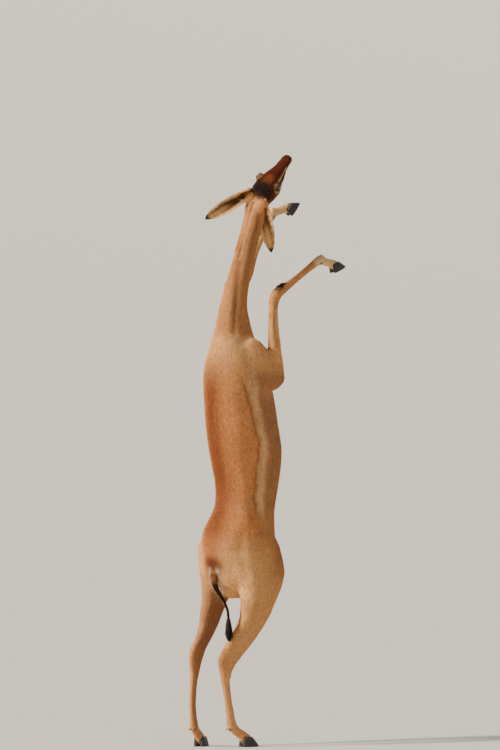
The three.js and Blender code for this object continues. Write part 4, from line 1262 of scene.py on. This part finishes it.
# %% Smooth claws with growth rings
HOOF_GRID = 1.5 * mm
RING_EVERY, RING_HIGH, SOLE_PRESS = 3.4 * mm, 0.25 * mm, 1.6 * mm
HORN_ROUNDS = 14
horn, tree, shader = material("hoof horn", 0.5, coat=0.05, specular=0.4)
node = speckled(tree, read(tree, "tint", "Color"), 300, 0.5)
growth = read(tree, "growth")
plus, minus, times = arithmetic(tree)
wobble = add(tree, "ShaderNodeTexNoise", {
    "Vector": add(tree, "ShaderNodeTexCoord").outputs["Object"], "Scale": 60.0})
rings = calc(tree, "SINE", plus(times(growth, 2 * math.pi * 1.9), times(wobble.outputs[0], 5.0)))
shade = plus(times(rings, 0.1), 1.0)
feed(tree, shader.inputs["Base Color"], scaled(tree, node.outputs["Colour"], shade))
bumped(tree, shader, plus(times(rings, 0.5), node.outputs["Height"]), 0.0004)

claws = {}
for name in sorted(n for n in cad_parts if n.startswith("hoof")):
    copy = welded(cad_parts[name].data)
    mesh = bpy.data.meshes.new(name + "_horn")
    copy.to_mesh(mesh)
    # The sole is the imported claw's widest flat side; its plane is found from its own facets.
    normal_sum = {}
    for face in copy.faces:
        key = tuple(round(c, 2) for c in face.normal)
        normal_sum[key] = normal_sum.get(key, 0) + face.calc_area()
    down = unit(np.array(max(normal_sum, key=normal_sum.get), float))
    coords = np.array([tuple(v.co) for v in copy.verts])
    copy.free()
    level = (coords @ down).max()
    carrier = new_object(name, mesh)
    grid = carrier.modifiers.new("grid", "REMESH")
    grid.mode, grid.voxel_size = "VOXEL", HOOF_GRID
    claw = finished(carrier, name + "_horn")
    at = points_of(claw.data)
    hoof_surface = Surface(claw.data)
    for _ in range(HORN_ROUNDS):
        at += 0.5 * (hoof_surface.mean(at) - at)
    height = level - at @ down
    at += normals_of(claw.data) * (RING_HIGH * np.sin(2 * math.pi * height / RING_EVERY) *
                                   step(height, 2 * mm, 6 * mm))[:, None]
    at += down * (np.where(level - at @ down < SOLE_PRESS, level - at @ down, 0))[:, None]
    put_points(claw.data, at)
    smoothly(claw.data)
    pale = step(height, 24 * mm, 36 * mm)
    colours = blend(np.tile(paint(52, 48, 50), (len(at), 1)), paint(96, 84, 74), 0.5 * pale)
    keep_tint(claw.data, colours)
    keep(claw.data, "growth", height / RING_EVERY)
    claw.data.materials.append(horn)
    claws[name] = claw
print("claws", len(claws), "first has", len(claws["hoof_hind_right_a"].data.polygons), "faces")

# %% [markdown]
# ## What rides on what
# The model is still, so every piece rides on the one root body, and the imported parts that the pieces
# replace are hidden.

# %% Slots, bodies and replaced parts
skin.data.materials.append(hide)
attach(skin, "root")
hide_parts(*FLESH)
for name, piece in coat.items():
    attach(piece, "root")
for piece, finish in ((knee_hair, "dark_hair"), (ear_fringe, "tan_coat"), (rump_hair, "tan_coat"),
                      (tail_tuft, "dark_hair")):
    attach(piece, "root")
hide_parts("tail_tuft")
for name, piece in eyes.items():
    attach(piece, "root")
    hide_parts(name)
for piece in list(lids.values()) + list(lashes.values()):
    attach(piece, "root")
for name, piece in claws.items():
    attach(piece, "root")
    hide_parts(name)

# %% [markdown]
# ## Floor, light and camera
# A pale floor runs out flat and then curves up like a photographer's paper sweep, far behind the animal
# on every side, so no horizon line shows. A soft sun lamp stands on the camera's left, as the sun does
# in the photograph, a faint one behind lights the far edges, and the sky is dim and even. The camera
# stands far off with a long lens, as the photograph was taken, so the upright body has next to no
# perspective.

# %% Floor that curves up at its rim
FLAT_RADIUS, RIM_WIDE, RIM_RISE, SWEEP_SIDES, SWEEP_ROWS = 40.0, 64.0, 11.0, 96, 20
sweep_points, sweep_faces = [(0, 0, 0)], []
for row in range(SWEEP_ROWS + 1):
    quarter = math.pi / 2 * row / SWEEP_ROWS
    radius, rise = FLAT_RADIUS + RIM_WIDE * math.sin(quarter), RIM_RISE * (1 - math.cos(quarter))
    for k in range(SWEEP_SIDES):
        angle = 2 * math.pi * k / SWEEP_SIDES
        sweep_points.append((radius * math.cos(angle), radius * math.sin(angle), rise))
for k in range(SWEEP_SIDES):
    following = (k + 1) % SWEEP_SIDES
    sweep_faces.append((0, 1 + k, 1 + following))
    for row in range(SWEEP_ROWS):
        a = 1 + row * SWEEP_SIDES
        sweep_faces.append((a + k, a + SWEEP_SIDES + k, a + SWEEP_SIDES + following, a + following))
floor = new_object("floor", smoothly(mesh_from("floor", sweep_points, sweep_faces)))
FLOOR_COLOUR = (0.74, 0.71, 0.66, 1)
pale_floor, tree, shader = material("pale floor", 0.95, specular=0.05)
shader.inputs["Base Color"].default_value = FLOOR_COLOUR
floor.data.materials.append(pale_floor)

# %% Camera
CAMERA_TURN, CAMERA_FAR, CAMERA_HIGH = math.radians(42), 29200.0, 1922.0
FOCAL_PIXELS, LONG_SIDE, SENSOR = 8343.0, 750.0, 36.0
RIGHT_OF_AXIS, BELOW_AXIS = 9.0, 177.0
level_ahead = np.array([-math.sin(CAMERA_TURN), math.cos(CAMERA_TURN), 0.0])
level_side = np.array([math.cos(CAMERA_TURN), math.sin(CAMERA_TURN), 0.0])
aim = level_ahead + level_side * RIGHT_OF_AXIS / FOCAL_PIXELS - np.array([0, 0, BELOW_AXIS / FOCAL_PIXELS])
lens = bpy.data.cameras.new("camera")
lens.lens = FOCAL_PIXELS / LONG_SIDE * SENSOR
lens.sensor_width = SENSOR
lens.clip_end = 400.0
camera = new_object("camera", lens)
camera.location = place((0, 0, CAMERA_HIGH) - level_ahead * CAMERA_FAR)
camera.rotation_euler = Vector(aim).to_track_quat("-Z", "Y").to_euler()
bpy.context.scene.camera = camera
print("lens", round(lens.lens, 1), "mm, camera at", [round(c, 3) for c in camera.location])


# %% Lights
def sun(name, toward, colour, strength, softness):
    """A sun lamp that shines from a direction, with its width in the sky given in degrees."""
    data = bpy.data.lights.new(name, "SUN")
    data.energy, data.color, data.angle = strength, colour, math.radians(softness)
    new_object(name, data).rotation_euler = Vector(toward).to_track_quat("Z", "Y").to_euler()


toward_camera, camera_left = -level_ahead, -level_side
sun("key", 0.45 * toward_camera + 0.9 * camera_left + [0, 0, 0.5], (1, 0.9, 0.76), 6.8, 8)
sun("rim", -0.8 * toward_camera - 0.5 * camera_left + [0, 0, 0.7], (1, 0.95, 0.88), 0.9, 20)
SKY_COLOUR, SKY_STRENGTH = (0.93, 0.93, 0.96, 1), 0.34
world = bpy.data.worlds.new("studio")
world.use_nodes = True
sky = world.node_tree.nodes["Background"]
sky.inputs["Color"].default_value = SKY_COLOUR
sky.inputs["Strength"].default_value = SKY_STRENGTH
bpy.context.scene.world = world
